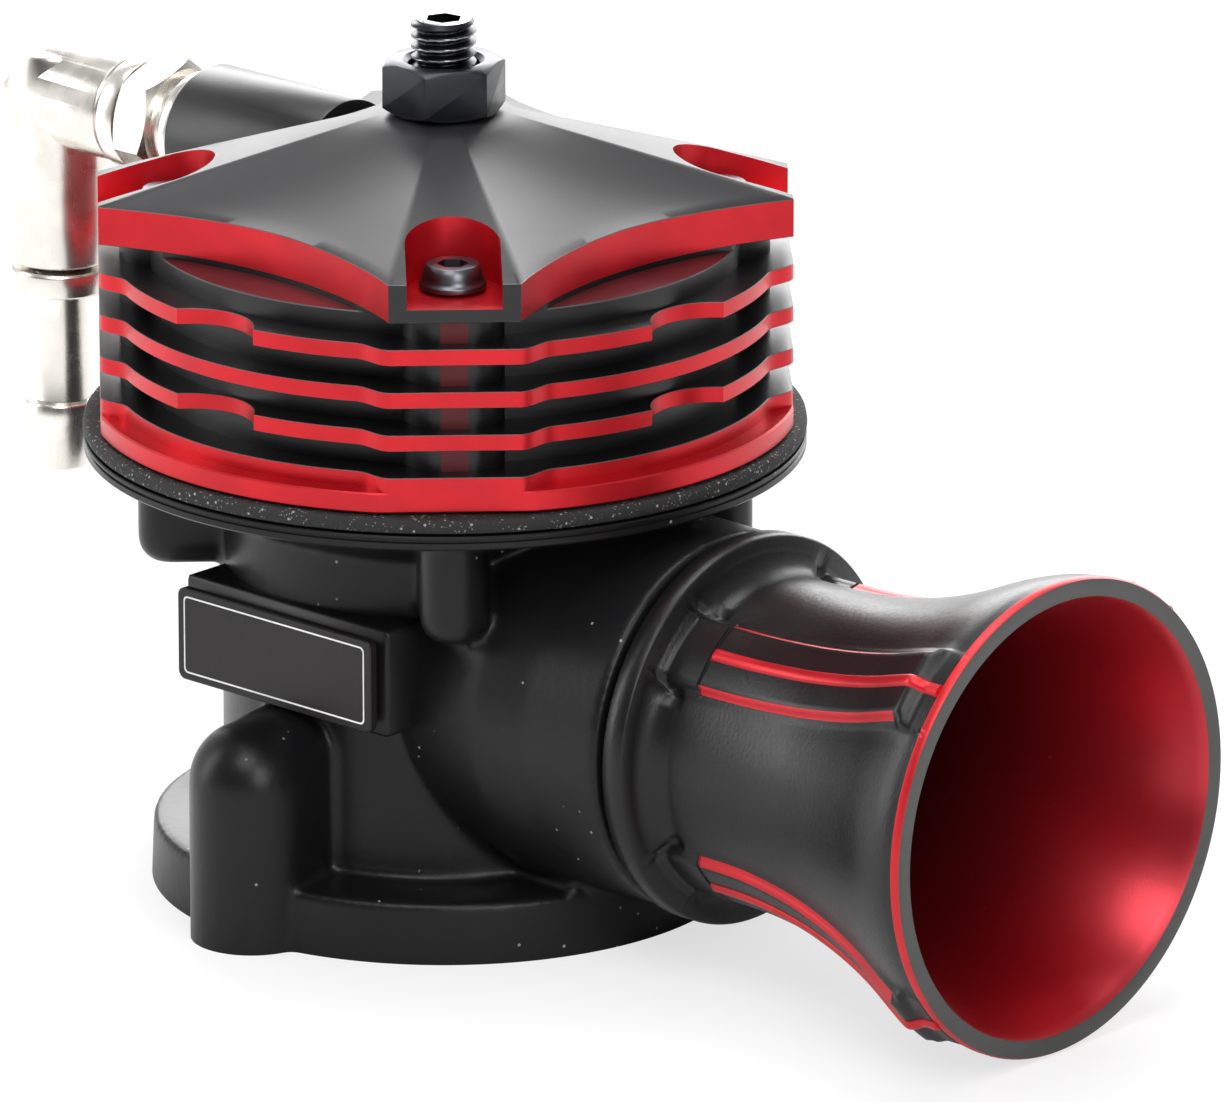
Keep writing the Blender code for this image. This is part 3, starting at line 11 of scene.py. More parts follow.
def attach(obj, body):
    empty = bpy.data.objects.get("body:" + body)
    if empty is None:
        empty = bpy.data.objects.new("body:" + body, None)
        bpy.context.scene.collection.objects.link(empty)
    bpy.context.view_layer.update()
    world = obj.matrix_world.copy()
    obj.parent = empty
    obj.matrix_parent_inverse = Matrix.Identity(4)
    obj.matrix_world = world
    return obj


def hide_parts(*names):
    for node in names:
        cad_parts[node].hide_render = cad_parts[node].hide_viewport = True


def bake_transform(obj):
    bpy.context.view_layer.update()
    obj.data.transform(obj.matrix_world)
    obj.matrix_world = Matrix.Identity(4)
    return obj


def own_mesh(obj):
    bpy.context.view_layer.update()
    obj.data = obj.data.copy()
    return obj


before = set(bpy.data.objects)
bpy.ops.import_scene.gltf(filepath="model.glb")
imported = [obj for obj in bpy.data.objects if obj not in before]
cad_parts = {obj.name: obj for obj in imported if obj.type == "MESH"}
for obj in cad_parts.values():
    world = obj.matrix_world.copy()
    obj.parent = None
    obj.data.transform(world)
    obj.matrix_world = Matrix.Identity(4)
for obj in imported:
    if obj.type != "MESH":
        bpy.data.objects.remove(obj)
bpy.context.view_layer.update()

MM = 0.001
AXIS_X = -10.3
OUTLET_HEIGHT = 22.1
PORT_HEIGHT = 65.2
SCREW_CIRCLE = 25.2
SCREW_HOLE = 2.25
SHARP = 30.0
ROUND = 160

AT_AXIS = Matrix.Translation((AXIS_X, 0, 0))
ALONG_OUTLET = Matrix.Translation((AXIS_X, 0, OUTLET_HEIGHT)) @ Matrix.Rotation(math.pi / 2, 4, "Y")
ALONG_PORT = Matrix.Translation((AXIS_X, 0, PORT_HEIGHT)) @ Matrix.Rotation(-math.pi / 2, 4, "Y")


# Finishes

class Wire:
    """A socket in a tree of nodes. Sums and products on it add Math nodes."""

    def __init__(self, net, socket):
        self.net = net
        self.socket = socket

    def __add__(self, other):
        return self.net.maths("ADD", self, other)

    def __radd__(self, other):
        return self.net.maths("ADD", other, self)

    def __sub__(self, other):
        return self.net.maths("SUBTRACT", self, other)

    def __rsub__(self, other):
        return self.net.maths("SUBTRACT", other, self)

    def __mul__(self, other):
        return self.net.maths("MULTIPLY", self, other)


class Net:
    """A tree of nodes. Every node comes from the node method."""

    def __init__(self, tree):
        self.tree = tree

    def node(self, kind, settings=None, inputs=None, output=0):
        made = self.tree.nodes.new(kind)
        for key, value in (settings or {}).items():
            setattr(made, key, value)
        for key, value in (inputs or {}).items():
            self.feed(made.inputs[key], value)
        return Wire(self, made.outputs[output])

    def feed(self, socket, value):
        if isinstance(value, Wire):
            self.tree.links.new(value.socket, socket)
        elif isinstance(value, tuple) and len(value) == 3 and socket.type == "RGBA":
            socket.default_value = (*value, 1)
        else:
            socket.default_value = value

    def maths(self, operation, *values):
        return self.node("ShaderNodeMath", {"operation": operation}, dict(enumerate(values)))

    def between(self, value, low, high, start=0.0, end=1.0):
        """Value remapped from low..high to start..end, held at the ends."""
        inputs = {"Value": value, "From Min": low, "From Max": high, "To Min": start, "To Max": end}
        return self.node("ShaderNodeMapRange", {"clamp": True}, inputs)


class Paint(Net):
    """One finish: a Principled shader, and the nodes that vary it over the surface."""

    def __init__(self, name, colour, roughness, metallic=0.0):
        self.material = bpy.data.materials.new(name)
        self.material.use_nodes = True
        super().__init__(self.material.node_tree)
        self.shader = self.tree.nodes["Principled BSDF"]
        self.set("Base Color", colour)
        self.set("Roughness", roughness)
        self.set("Metallic", metallic)

    def set(self, name, value):
        self.feed(self.shader.inputs[name], value)

    def place(self):
        """The point on the piece, in millimetres."""
        where = self.node("ShaderNodeTexCoord", output="Object")
        scale = (1 / MM, 1 / MM, 1 / MM)
        return self.node("ShaderNodeMapping", None, {"Vector": where, "Scale": scale})

    def stretched(self, scale):
        return self.node("ShaderNodeMapping", None, {"Vector": self.place(), "Scale": scale})

    def noise(self, per_mm, detail=2.0, where=None):
        inputs = {"Vector": where or self.place(), "Scale": per_mm, "Detail": detail}
        return self.node("ShaderNodeTexNoise", None, inputs)

    def cells(self, per_mm):
        inputs = {"Vector": self.place(), "Scale": per_mm}
        return self.node("ShaderNodeTexVoronoi", None, inputs, "Distance")

    def blend(self, factor, first, second):
        settings = {"data_type": "RGBA"}
        return self.node("ShaderNodeMix", settings, {0: factor, 6: first, 7: second}, 2)

    def bump(self, height, distance):
        """Bump in millimetres of height."""
        inputs = {"Height": height, "Distance": distance * MM, "Strength": 1.0}
        self.set("Normal", self.node("ShaderNodeBump", None, inputs))


def specks(paint, per_mm, size, share):
    """A mask of small dust specks: size is their share of a cell, share how many cells have one."""
    spot = paint.between(paint.cells(per_mm), size * 0.5, size, 1.0, 0.0)
    chosen = paint.between(paint.noise(per_mm * 0.31, 1.0), 1 - share, 1.02 - share)
    return spot * chosen


def dusty(paint, colour, mask, pale=(0.42, 0.41, 0.39)):
    paint.set("Base Color", paint.blend(mask, colour, pale))


def anodised(name, colour, roughness, metallic, grain=0.012, drift=0.06):
    """Fine blasted aluminium under a dyed anodic layer."""
    paint = Paint(name, colour, roughness, metallic)
    grit = paint.noise(9.0, 3.0)
    cloud = paint.noise(0.16, 3.0)
    paint.set("Roughness", roughness + (cloud - 0.5) * drift * 2 + (grit - 0.5) * drift)
    deep = tuple(part * 0.82 for part in colour)
    paint.set("Base Color", paint.blend(paint.between(cloud, 0.35, 0.65), deep, colour))
    paint.bump(grit, grain)
    return paint


def cast(name, colour, roughness):
    """Black cast aluminium: a fine orange peel over a slow drift of gloss."""
    paint = Paint(name, colour, roughness, 0.0)
    grit = paint.noise(5.0, 4.0)
    peel = paint.noise(1.1, 2.0)
    cloud = paint.noise(0.12, 3.0)
    paint.set("Roughness", roughness + (cloud - 0.5) * 0.16 + (grit - 0.5) * 0.10)
    dusty(paint, colour, specks(paint, 0.55, 0.10, 0.42) * 0.55)
    paint.set("Specular IOR Level", 0.24)
    paint.bump(grit * 0.45 + peel, 0.018)
    return paint


def turned_metal(name, colour, roughness, along, lines=7.0, depth=0.004):
    """Bare or plated metal with fine tool lines across the given axis."""
    paint = Paint(name, colour, roughness, 1.0)
    scale = [0.4, 0.4, 0.4]
    scale["xyz".index(along)] = lines
    marks = paint.noise(1.0, 3.0, paint.stretched(tuple(scale)))
    cloud = paint.noise(0.3, 3.0)
    paint.set("Roughness", roughness + (marks - 0.5) * 0.16 + (cloud - 0.5) * 0.14)
    worn = tuple(part * 0.86 for part in colour)
    paint.set("Base Color", paint.blend(paint.between(cloud, 0.4, 0.62), worn, colour))
    paint.bump(marks, depth)
    return paint


def rubber_finish(name, colour, roughness, dust):
    """Matt rubber with coarse and fine dust. Dust is the share of the surface that has it."""
    paint = Paint(name, colour, roughness)
    grit = paint.noise(6.0, 4.0)
    paint.set("Roughness", roughness + (grit - 0.5) * 0.2)
    coarse = specks(paint, 1.5, 0.24, dust)
    fine = specks(paint, 3.4, 0.30, dust * 0.9)
    dusty(paint, colour, paint.maths("MAXIMUM", coarse, fine * 0.6) * 0.6)
    paint.bump(grit, 0.05)
    return paint


def finishes():
    nickel = (0.80, 0.765, 0.71)
    made = {}
    made["cap_black"] = anodised("cap_black_anodised", (0.0075, 0.0075, 0.0085), 0.34, 0.2)
    made["cap_red"] = anodised("cap_red_anodised", (0.56, 0.012, 0.020), 0.33, 0.62)
    # A dark red that paints the shade on the core's red stripes between the fins and on its floor under the
    # roof.
    made["cap_red_shade"] = anodised("cap_red_painted_shade", (0.105, 0.008, 0.012), 0.45, 0.35)
    # A grey that paints the highlight along the chamfered edges of the cap's plates and the roof.
    made["cap_edge"] = anodised("cap_edge_painted_highlight", (0.085, 0.082, 0.085), 0.40, 0.4)
    made["roof_black"] = roof_finish()
    made["cast_black"] = cast("body_cast_black", (0.0055, 0.0055, 0.0062), 0.36)
    made["funnel_black"] = funnel_finish()
    made["funnel_red"] = anodised("funnel_red_anodised", (0.56, 0.014, 0.022), 0.36, 0.5)
    made["bore_red"] = bore_finish()
    made["rim_grey"] = anodised("funnel_rim_grey", (0.058, 0.059, 0.057), 0.55, 0.2, 0.02)
    made["steel_black"] = turned_metal("screws_blackened_steel", (0.036, 0.037, 0.042), 0.34, "z", 4.0, 0.006)
    # A lighter copy of the blackened steel for the cap screws, which paints the light on their lit tops.
    made["screw_grey"] = turned_metal("cap_screws_steel", (0.125, 0.130, 0.145), 0.36, "z", 4.0, 0.006)
    # Lighter steel for the thread crests: partly wear, partly a painted highlight.
    made["steel_crest_wear_and_highlight"] = turned_metal("screw_thread_wear_and_highlight", (0.30, 0.30, 0.31), 0.34, "z", 4.0, 0.006)
    made["steel"] = turned_metal("bright_drawn_steel", (0.55, 0.55, 0.56), 0.28, "z")
    made["bronze"] = turned_metal("sintered_bronze", (0.45, 0.27, 0.12), 0.42, "z")
    made["aluminium"] = turned_metal("turned_aluminium", (0.60, 0.60, 0.61), 0.36, "z")
    made["nickel"] = turned_metal("nickel_leg", nickel, 0.27, "z", 0.15, 0.0012)
    made["nickel_arm"] = turned_metal("nickel_arm", nickel, 0.27, "x", 5.0, 0.003)
    made["rubber"] = rubber_finish("diaphragm_rubber", (0.0085, 0.0085, 0.0085), 0.8, 0.55)
    made["seal_rubber"] = rubber_finish("seal_rubber", (0.014, 0.014, 0.014), 0.6, 0.1)
    made["plate"] = cast("nameplate_face", (0.012, 0.010, 0.011), 0.36)
    made["border"] = anodised("nameplate_border", (0.78, 0.78, 0.78), 0.5, 0.0, 0.006, 0.02)
    return made


def roof_finish():
    """Satin black with faint straight scuffs near the top."""
    colour = (0.0115, 0.0115, 0.0135)
    paint = Paint("roof_black_anodised", colour, 0.40, 0.2)
    grit = paint.noise(9.0, 3.0)
    cloud = paint.noise(0.10, 3.0)
    scuffs = paint.noise(1.0, 4.0, paint.stretched((0.5, 7.0, 0.5)))
    marks = paint.between(scuffs, 0.66, 0.74)
    paint.set("Roughness", 0.40 + (cloud - 0.5) * 0.10 + (grit - 0.5) * 0.05 + marks * 0.12)
    paint.set("Specular IOR Level", 0.42)
    paint.set("Base Color", paint.blend(marks * 0.3, colour, (0.05, 0.05, 0.055)))
    paint.bump(grit, 0.010)
    return paint


def funnel_finish():
    """Black anodised with fine crinkles across it."""
    colour = (0.0060, 0.0060, 0.0066)
    paint = Paint("funnel_black_anodised", colour, 0.38, 0.0)
    crinkle = paint.noise(1.0, 4.0, paint.stretched((3.2, 2.0, 2.0)))
    grit = paint.noise(7.0, 3.0)
    cloud = paint.noise(0.14, 3.0)
    paint.set("Roughness", 0.33 + (cloud - 0.5) * 0.14 + (crinkle - 0.5) * 0.16)
    dusty(paint, colour, specks(paint, 0.6, 0.12, 0.30) * 0.5)
    paint.set("Specular IOR Level", 0.30)
    paint.bump(crinkle + grit * 0.35, 0.022)
    return paint


def bore_finish():
    """Red dyed bore under a clear layer, its colour darker deep inside as painted shade, soft orange peel."""
    mouth = (0.42, 0.003, 0.014)
    paint = Paint("bore_red_anodised", mouth, 0.30, 0.78)
    along = paint.node("ShaderNodeSeparateXYZ", None, {"Vector": paint.place()}, "X")
    # Painted shade: the colour darkens from the mouth to deep inside the bore.
    colour = paint.blend(paint.between(along, 36, 62), (0.10, 0.0008, 0.003), mouth)
    peel = paint.noise(3.6, 3.0)
    cloud = paint.noise(0.15, 3.0)
    paint.set("Roughness", 0.33 + (peel - 0.5) * 0.10 + (cloud - 0.5) * 0.08)
    paint.set("Coat Weight", 0.7)
    paint.set("Coat Roughness", 0.33)
    dusty(paint, colour, specks(paint, 0.5, 0.10, 0.35) * 0.35, (0.9, 0.25, 0.22))
    paint.bump(peel, 0.010)
    return paint


FINISH = finishes()


# Meshes

def polar(radius, degrees):
    angle = math.radians(degrees)
    return (radius * math.cos(angle), radius * math.sin(angle))


def eased(profile, size, closed=False):
    """The outline with its corners rounded over by a small radius."""
    count = len(profile)
    out = []
    for i, point in enumerate(profile):
        here = Vector(point)
        if not closed and i in (0, count - 1):
            out.append(tuple(here))
            continue
        before = Vector(profile[i - 1]) - here
        after = Vector(profile[(i + 1) % count]) - here
        if before.length < 1e-6 or after.length < 1e-6 or before.angle(after) > math.radians(150):
            out.append(tuple(here))
            continue
        reach = min(size, before.length * 0.45, after.length * 0.45)
        first = here + before.normalized() * reach
        last = here + after.normalized() * reach
        for t in (0, 0.5, 1):
            spot = first * (1 - t) ** 2 + here * 2 * t * (1 - t) + last * t * t
            out.append(tuple(spot))
    return out


def stitch(bm, rings, finish=None):
    """Faces between each ring and the next. finish gives a face's index from its step along the
    rings, its place round them and the face."""
    for step, (low, high) in enumerate(zip(rings, rings[1:])):
        for i in range(len(low)):
            j = (i + 1) % len(low)
            face = bm.faces.new(list(dict.fromkeys((low[i], low[j], high[j], high[i]))))
            if finish:
                face.material_index = finish(step, i, face)


def capped(rings_of_points, finish=None, first_index=0, last_index=0):
    """A closed solid through rings of points, with a flat face at both ends."""
    bm = bmesh.new()
    rings = [[bm.verts.new(point) for point in ring] for ring in rings_of_points]
    stitch(bm, rings, finish)
    bm.faces.new(rings[0]).material_index = first_index
    bm.faces.new(rings[-1]).material_index = last_index
    return bm


def facing(face):
    """Angle about the z axis of a face's lower edge."""
    middle = face.verts[0].co + face.verts[1].co
    return math.degrees(math.atan2(middle.y, middle.x))


def lathe(profile, segments=ROUND, index=0, edge=0.0, place=AT_AXIS):
    """A turned closed solid. The profile holds (radius, height): it runs from the axis to the
    axis, or it is a closed loop away from it."""
    closed = profile[0][0] > 0
    if edge:
        profile = eased(profile, edge, closed)
    bm = bmesh.new()
    rings = []
    for radius, height in profile:
        if radius < 1e-6:
            rings.append([bm.verts.new((0, 0, height))] * segments)
            continue
        rings.append([bm.verts.new((*polar(radius, 360 * i / segments), height)) for i in range(segments)])
    if closed:
        rings.append(rings[0])
    stitch(bm, rings, lambda *_: index)
    bm.transform(place)
    return bm


def sleeve(outlines, heights, finish=None, end_index=0):
    """A solid through outlines of equal count at rising heights."""
    rings = [[(x, y, z) for x, y in outline] for outline, z in zip(outlines, heights)]
    return capped(rings, finish, end_index, end_index)


def inset(outline, amount):
    """The outline moved inwards by an amount along its own normals."""
    moved = []
    count = len(outline)
    for i in range(count):
        before = Vector(outline[i - 1])
        after = Vector(outline[(i + 1) % count])
        along = (after - before).normalized()
        here = Vector(outline[i])
        moved.append((here.x - along.y * amount, here.y + along.x * amount))
    return moved


def bevelled(outline, low, high, bevel, finish=None, end_index=0):
    slim = inset(outline, bevel)
    heights = [low, low + bevel, high - bevel, high]
    return sleeve([slim, outline, outline, slim], heights, finish, end_index)


def plate(outline, low, high, side, end, rim, bevel):
    """A flat plate at the valve axis, its two long edges chamfered in the rim finish. side gives
    the finish at an angle."""

    def finish(step, _, face):
        return side(facing(face)) if step == 1 else rim

    bm = bevelled(outline, low, high, bevel, finish, end)
    bm.transform(AT_AXIS)
    return bm


def bar(outline, low, high, index=0, place=AT_AXIS):
    """An outline extruded from low to high and set in place."""
    bm = sleeve([outline, outline], [low, high], lambda *_: index, index)
    bm.transform(place)
    return bm


def hexagon(across_flats, turn):
    return [polar(across_flats / math.sqrt(3), 60 * i + turn) for i in range(6)]


def circle(radius, centre=(0, 0), count=48):
    return [(centre[0] + x, centre[1] + y) for x, y in (polar(radius, 360 * i / count) for i in range(count))]


def add_object(name, data):
    obj = bpy.data.objects.new(name, data)
    bpy.context.scene.collection.objects.link(obj)
    return obj


def piece(name, bm, paints, sharp=SHARP):
    """An object in metres with its finishes, smooth except at real edges."""
    bmesh.ops.recalc_face_normals(bm, faces=bm.faces)
    bm.transform(Matrix.Scale(MM, 4))
    mesh = bpy.data.meshes.new(name)
    bm.to_mesh(mesh)
    bm.free()
    for paint in paints:
        mesh.materials.append(FINISH[paint].material)
    mesh.shade_smooth()
    mesh.set_sharp_from_angle(angle=math.radians(sharp))
    return add_object(name, mesh)


def settle(obj, sharp=SHARP):
    """Applies the object's modifiers and drops the helpers that they used."""
    helpers = [m.object for m in obj.modifiers if m.type == "BOOLEAN"]
    graph = bpy.context.evaluated_depsgraph_get()
    mesh = bpy.data.meshes.new_from_object(obj.evaluated_get(graph))
    obj.modifiers.clear()
    obj.data = mesh
    for helper in helpers:
        bpy.data.objects.remove(helper)
    mesh.shade_smooth()
    mesh.set_sharp_from_angle(angle=math.radians(sharp))


def boolean(obj, operation, bm):
    helper = piece("helper", bm, [])
    for slot in obj.material_slots:
        helper.data.materials.append(slot.material)
    modifier = obj.modifiers.new(operation, "BOOLEAN")
    modifier.object = helper
    modifier.operation = operation
    modifier.solver = "EXACT"


def cut(obj, bm):
    boolean(obj, "DIFFERENCE", bm)


def fuse(obj, bm):
    boolean(obj, "UNION", bm)


def at_angle(radius, degrees):
    return AT_AXIS @ Matrix.Translation((*polar(radius, degrees), 0))


def at_screw(corner):
    return at_angle(SCREW_CIRCLE, 45 + 90 * corner)


def chamfered(low, high, face, corner, drop):
    """Profile that takes the corners off a hexagon between two heights: face is the radius that
    stays flat at its ends, corner the full one, drop the depth of the upper chamfer."""
    return [
        (0, low - 0.01), (face, low - 0.01), (corner, low + 0.5),
        (corner, high - drop), (face, high + 0.01), (0, high + 0.01),
    ]


def dress(obj, body, slot, *nodes):
    """Sets what a finished piece rides on and hides the CAD nodes that it stands for. The slot is not used.
    """
    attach(obj, body)
    if nodes:
        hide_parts(*nodes)


# The cap

CORNER_DISTANCE = 31.65
CORNER_HALF = 5.93
CORNER_ANGLE = math.degrees(math.atan2(CORNER_HALF, CORNER_DISTANCE))
CORNER_RADIUS = math.hypot(CORNER_HALF, CORNER_DISTANCE)
FIN_RADIUS = 30.5
FLARE = 6.2
SCALLOP_CENTRE = 33.5
SCALLOP = 5.85
CORE = 27.3
LOBE = 4.9
STRIPE = 29.75
STRIPE_HALF = 1.25
ROOF_SIDE = 22.6
ROOF_ARC = 43.7
ROOF_EDGE = 65.83
PLATE_LEVEL = 62.3
ROOF_BEVEL = 0.07
ROOF_STEPS = 14
SIDE_LIFT = 0.4
SEAT_RADIUS = 6.2
SEAT_LEVEL = 72.9
FIN_LEVEL = 50.3
FIN_PITCH = 4
FIN_THICKNESS = 1.5
FINS = 3
POCKET_RADIUS = 4.3
POCKET_LEVEL = 63.5
PORT_BOSS_RADIUS = 6.4
PORT_BOSS_END = 29.7
# The fourth finish is a dark red that paints the shade on red faces of the core: the stripes between the fins
# and the floor under the roof.
BLACK, RED, EDGE, SHADED_RED, ROOF = range(5)
CAP_PAINTS = ["cap_black", "cap_red", "cap_edge", "cap_red_shade", "roof_black"]


def from_side(degrees):
    """Angle from the middle of the nearest side: 0 to 45."""
    return abs((degrees + 45) % 90 - 45)


def from_corner(degrees):
    return 45 - from_side(degrees)


def meeting_angle(first, second, opposite):
    """Angle at the valve axis between two sides of a triangle, from its three sides."""
    return math.degrees(math.acos((first**2 + second**2 - opposite**2) / (2 * first * second)))


STRIPE_ANGLE = math.degrees(math.atan2(STRIPE_HALF, STRIPE))


def octant_angles():
    """Angles from a side's middle to a corner, with one at each place where an outline turns."""
    scallop = meeting_angle(FIN_RADIUS, SCALLOP_CENTRE, SCALLOP)
    lobe = meeting_angle(SCREW_CIRCLE, CORE, LOBE)
    knots = [0, scallop, 45 - CORNER_ANGLE - FLARE, 45 - CORNER_ANGLE, 45 - lobe, 45 - STRIPE_ANGLE, 45]
    knots.sort()
    angles = []
    for first, last in zip(knots, knots[1:]):
        steps = max(1, round((last - first) / 1.3))
        angles += [first + (last - first) * i / steps for i in range(steps)]
    return angles + [45.0]


def square_angles():
    octant = octant_angles()
    side = [-a for a in reversed(octant[1:])] + octant[:-1]
    return [quarter * 90 + a for quarter in range(4) for a in side]


ANGLES = square_angles()


def corner_flat(degrees):
    return CORNER_DISTANCE / math.cos(math.radians(from_corner(degrees)))


def fin_radius(degrees, scalloped=False):
    away = from_corner(degrees)
    if away <= CORNER_ANGLE + 1e-6:
        return corner_flat(degrees)
    t = min((away - CORNER_ANGLE) / FLARE, 1.0)
    radius = CORNER_RADIUS + (FIN_RADIUS - CORNER_RADIUS) * t * t * (3 - 2 * t)
    if scalloped:
        side = math.radians(from_side(degrees))
        under = SCALLOP**2 - (SCALLOP_CENTRE * math.sin(side)) ** 2
        if under > 0:
            radius = min(radius, SCALLOP_CENTRE * math.cos(side) - math.sqrt(under))
    return radius


def core_radius(degrees):
    away = math.radians(from_corner(degrees))
    under = LOBE**2 - (SCREW_CIRCLE * math.sin(away)) ** 2
    lobe = SCREW_CIRCLE * math.cos(away) + math.sqrt(under) if under > 0 else 0
    flat = STRIPE / math.cos(away)
    return max(CORE, min(lobe, flat) if lobe else 0)


def ring_radius(degrees):
    return min(32.4, corner_flat(degrees))


def roof_radius(degrees):
    if from_corner(degrees) <= CORNER_ANGLE + 1e-6:
        return corner_flat(degrees)
    side = math.radians(from_side(degrees))
    centre = ROOF_SIDE + ROOF_ARC
    return centre * math.cos(side) - math.sqrt(ROOF_ARC**2 - (centre * math.sin(side)) ** 2)


def neck_radius(degrees):
    return min(roof_radius(degrees), core_radius(degrees)) - 0.05


def outline_of(radius, *extra):
    return [polar(radius(a, *extra), a) for a in ANGLES]


def tent():
    """The roof: upright sides, then a skin that climbs to the lock nut's seat with a ridge to
    each corner and a hollow between the ridges."""
    outline = outline_of(roof_radius)
    slim = inset(outline, ROOF_BEVEL)
    outlines = [slim, outline, outline]
    levels = [[PLATE_LEVEL] * len(ANGLES), [PLATE_LEVEL + ROOF_BEVEL] * len(ANGLES)]
    rise = []
    for angle in ANGLES:
        to_corner = abs(math.sin(2 * math.radians(angle))) ** 2
        hollow = 1.22 - 0.30 * to_corner
        rise.append((ROOF_EDGE + SIDE_LIFT * (1 - to_corner), hollow))
    levels.append([edge - ROOF_BEVEL for edge, _ in rise])
    for step in range(ROOF_STEPS + 1):
        inward = step / ROOF_STEPS
        ring = []
        level = []
        for (x, y), (edge, hollow) in zip(slim, rise):
            distance = math.hypot(x, y)
            radius = distance + (SEAT_RADIUS - distance) * inward
            ring.append((x / distance * radius, y / distance * radius))
            level.append(edge + (SEAT_LEVEL - edge) * inward**hollow)
        outlines.append(ring)
        levels.append(level)

    def finish(step, _, face):
        if step == 1:
            return BLACK if from_corner(facing(face)) < CORNER_ANGLE else RED
        # The roof's bevels take the grey that paints an edge highlight.
        return EDGE if step in (0, 2) else ROOF

    rings = [[(x, y, z) for (x, y), z in zip(ring, level)] for ring, level in zip(outlines, levels)]
    bm = capped(rings, finish, BLACK, ROOF)
    bm.transform(AT_AXIS)
    return bm


def cap():
    """Core with its fins, roof and port boss, then the cavity, the port and the screw pockets."""
    core = outline_of(core_radius)

    # Faces of the stripes take the dark red that paints the shade between the fins.
    def wall(angle):
        return SHADED_RED if from_corner(angle) < STRIPE_ANGLE + 0.05 else BLACK

    def red(_):
        return RED

    obj = piece("finned_cap", plate(core, 45.2, 61.8, wall, SHADED_RED, EDGE, 0.10), CAP_PAINTS)
    fuse(obj, plate(outline_of(ring_radius), 44.5, 46.4, red, RED, RED, 0.15))
    fuse(obj, plate(outline_of(fin_radius), 44.9, 47.8, red, BLACK, EDGE, 0.06))
    for i in range(FINS):
        low = FIN_LEVEL + FIN_PITCH * i
        scalloped = i % 2 == 0
        fin = plate(outline_of(fin_radius, scalloped), low, low + FIN_THICKNESS, red, BLACK, EDGE, 0.05)
        fuse(obj, fin)
    fuse(obj, bar(outline_of(neck_radius), 61.0, 63.0, BLACK))
    fuse(obj, tent())
    boss = [(0, 12), (PORT_BOSS_RADIUS, 12), (PORT_BOSS_RADIUS, PORT_BOSS_END), (0, PORT_BOSS_END)]
    fuse(obj, lathe(boss, 96, BLACK, 0.35, ALONG_PORT))
    cavity = [
        (0, 43), (20.5, 43), (20.5, 56.8), (10.6, 62), (10.6, 67.3), (3.3, 67.3), (3.3, 74), (0, 74),
    ]
    cut(obj, lathe(cavity, 96, BLACK))
    port = [(0, 9.6), (2, 9.6), (2, 19), (3.3, 19), (3.3, 31), (0, 31)]
    cut(obj, lathe(port, 48, BLACK, 0, ALONG_PORT))
    pocket = [polar(POCKET_RADIUS, 90 + 180 * i / 40) for i in range(41)]
    pocket += [(14, -POCKET_RADIUS), (14, POCKET_RADIUS)]
    for corner in range(4):
        turn = Matrix.Rotation(math.radians(45 + 90 * corner), 4, "Z")
        outward = AT_AXIS @ turn @ Matrix.Translation((SCREW_CIRCLE, 0, 0))
        cut(obj, bar(pocket, POCKET_LEVEL, 74, RED, outward))
        cut(obj, bar(circle(SCREW_HOLE), 43, 64, BLACK, outward))
    settle(obj)
    dress(obj, "valve_body", "anodised_black", "cap")


# Screws and nuts

SHANK = 1.95
SHANK_END = 33.7
HEAD = 3.05
HEAD_SEAT = 63.8
DOME_RISE = 1.4 / math.sin(math.radians(55))


def cap_screw(number):
    """Button head screw with a hexagon socket, each turned its own way."""
    place = at_screw(number)
    dome = []
    for i in range(7):
        angle = math.radians(4 + 8.5 * i)
        dome.append((1.7 + 1.08 * math.cos(angle), HEAD_SEAT + 0.75 + DOME_RISE * math.sin(angle)))
    profile = [(0, SHANK_END), (SHANK - 0.3, SHANK_END), (SHANK, SHANK_END + 0.3), (SHANK, HEAD_SEAT)]
    profile += [(HEAD, HEAD_SEAT), (HEAD, HEAD_SEAT + 0.45), (HEAD - 0.15, HEAD_SEAT + 0.62)]
    profile += dome + [(0, dome[-1][1])]
    obj = piece(f"dressed_cap_screw_{number + 1}", lathe(profile, 64, 0, 0.08, place), ["screw_grey"])
    top = dome[-1][1]
    cut(obj, bar(hexagon(2.5, 12 + 31 * number), top - 1.3, top + 1, 0, place))
    settle(obj, 38)
    dress(obj, "valve_body", "blackened_steel", f"cap_screw_{number + 1}")


def thread(radius, root, pitch, low, high):
    """A screw thread as one closed skin, its crests fading out at both ends. Faces on its crests
    take the second finish."""
    segments, rows_per_turn = 64, 14
    rows = round((high - low) / pitch * rows_per_turn)
    rings = []
    for row in range(rows + 1):
        z = low + (high - low) * row / rows
        ring = []
        for i in range(segments):
            turn = (z / pitch - i / segments) % 1
            crest = min(1.0, max(0.0, 1.25 - 2.9 * abs(turn - 0.5)))
            ends = min(1.0, (z - low) / (0.5 * pitch), (high - z) / (0.5 * pitch))
            r = root + (radius - root) * crest
            r = min(r, radius - 0.45 + 0.45 * max(ends, 0.0))
            ring.append((*polar(r, 360 * i / segments), z))
        rings.append(ring)

    # Crest faces take the lighter steel: partly wear, partly a painted highlight.
    def finish(step, _, face):
        out = min(math.hypot(corner.co.x, corner.co.y) for corner in face.verts)
        return 1 if out > radius - 0.06 else 0

    bm = capped(rings, finish, 0, 1)
    bm.transform(AT_AXIS)
    return bm


def set_screw():
    screw = thread(3.0, 2.42, 1.0, 64.65, 81.7)
    obj = piece("threaded_set_screw", screw, ["steel_black", "steel_crest_wear_and_highlight"], 45)
    cut(obj, bar(hexagon(3.0, 8.0), 78.7, 83))
    settle(obj, 45)
    dress(obj, "adjusting_screw", "blackened_steel", "set_screw")


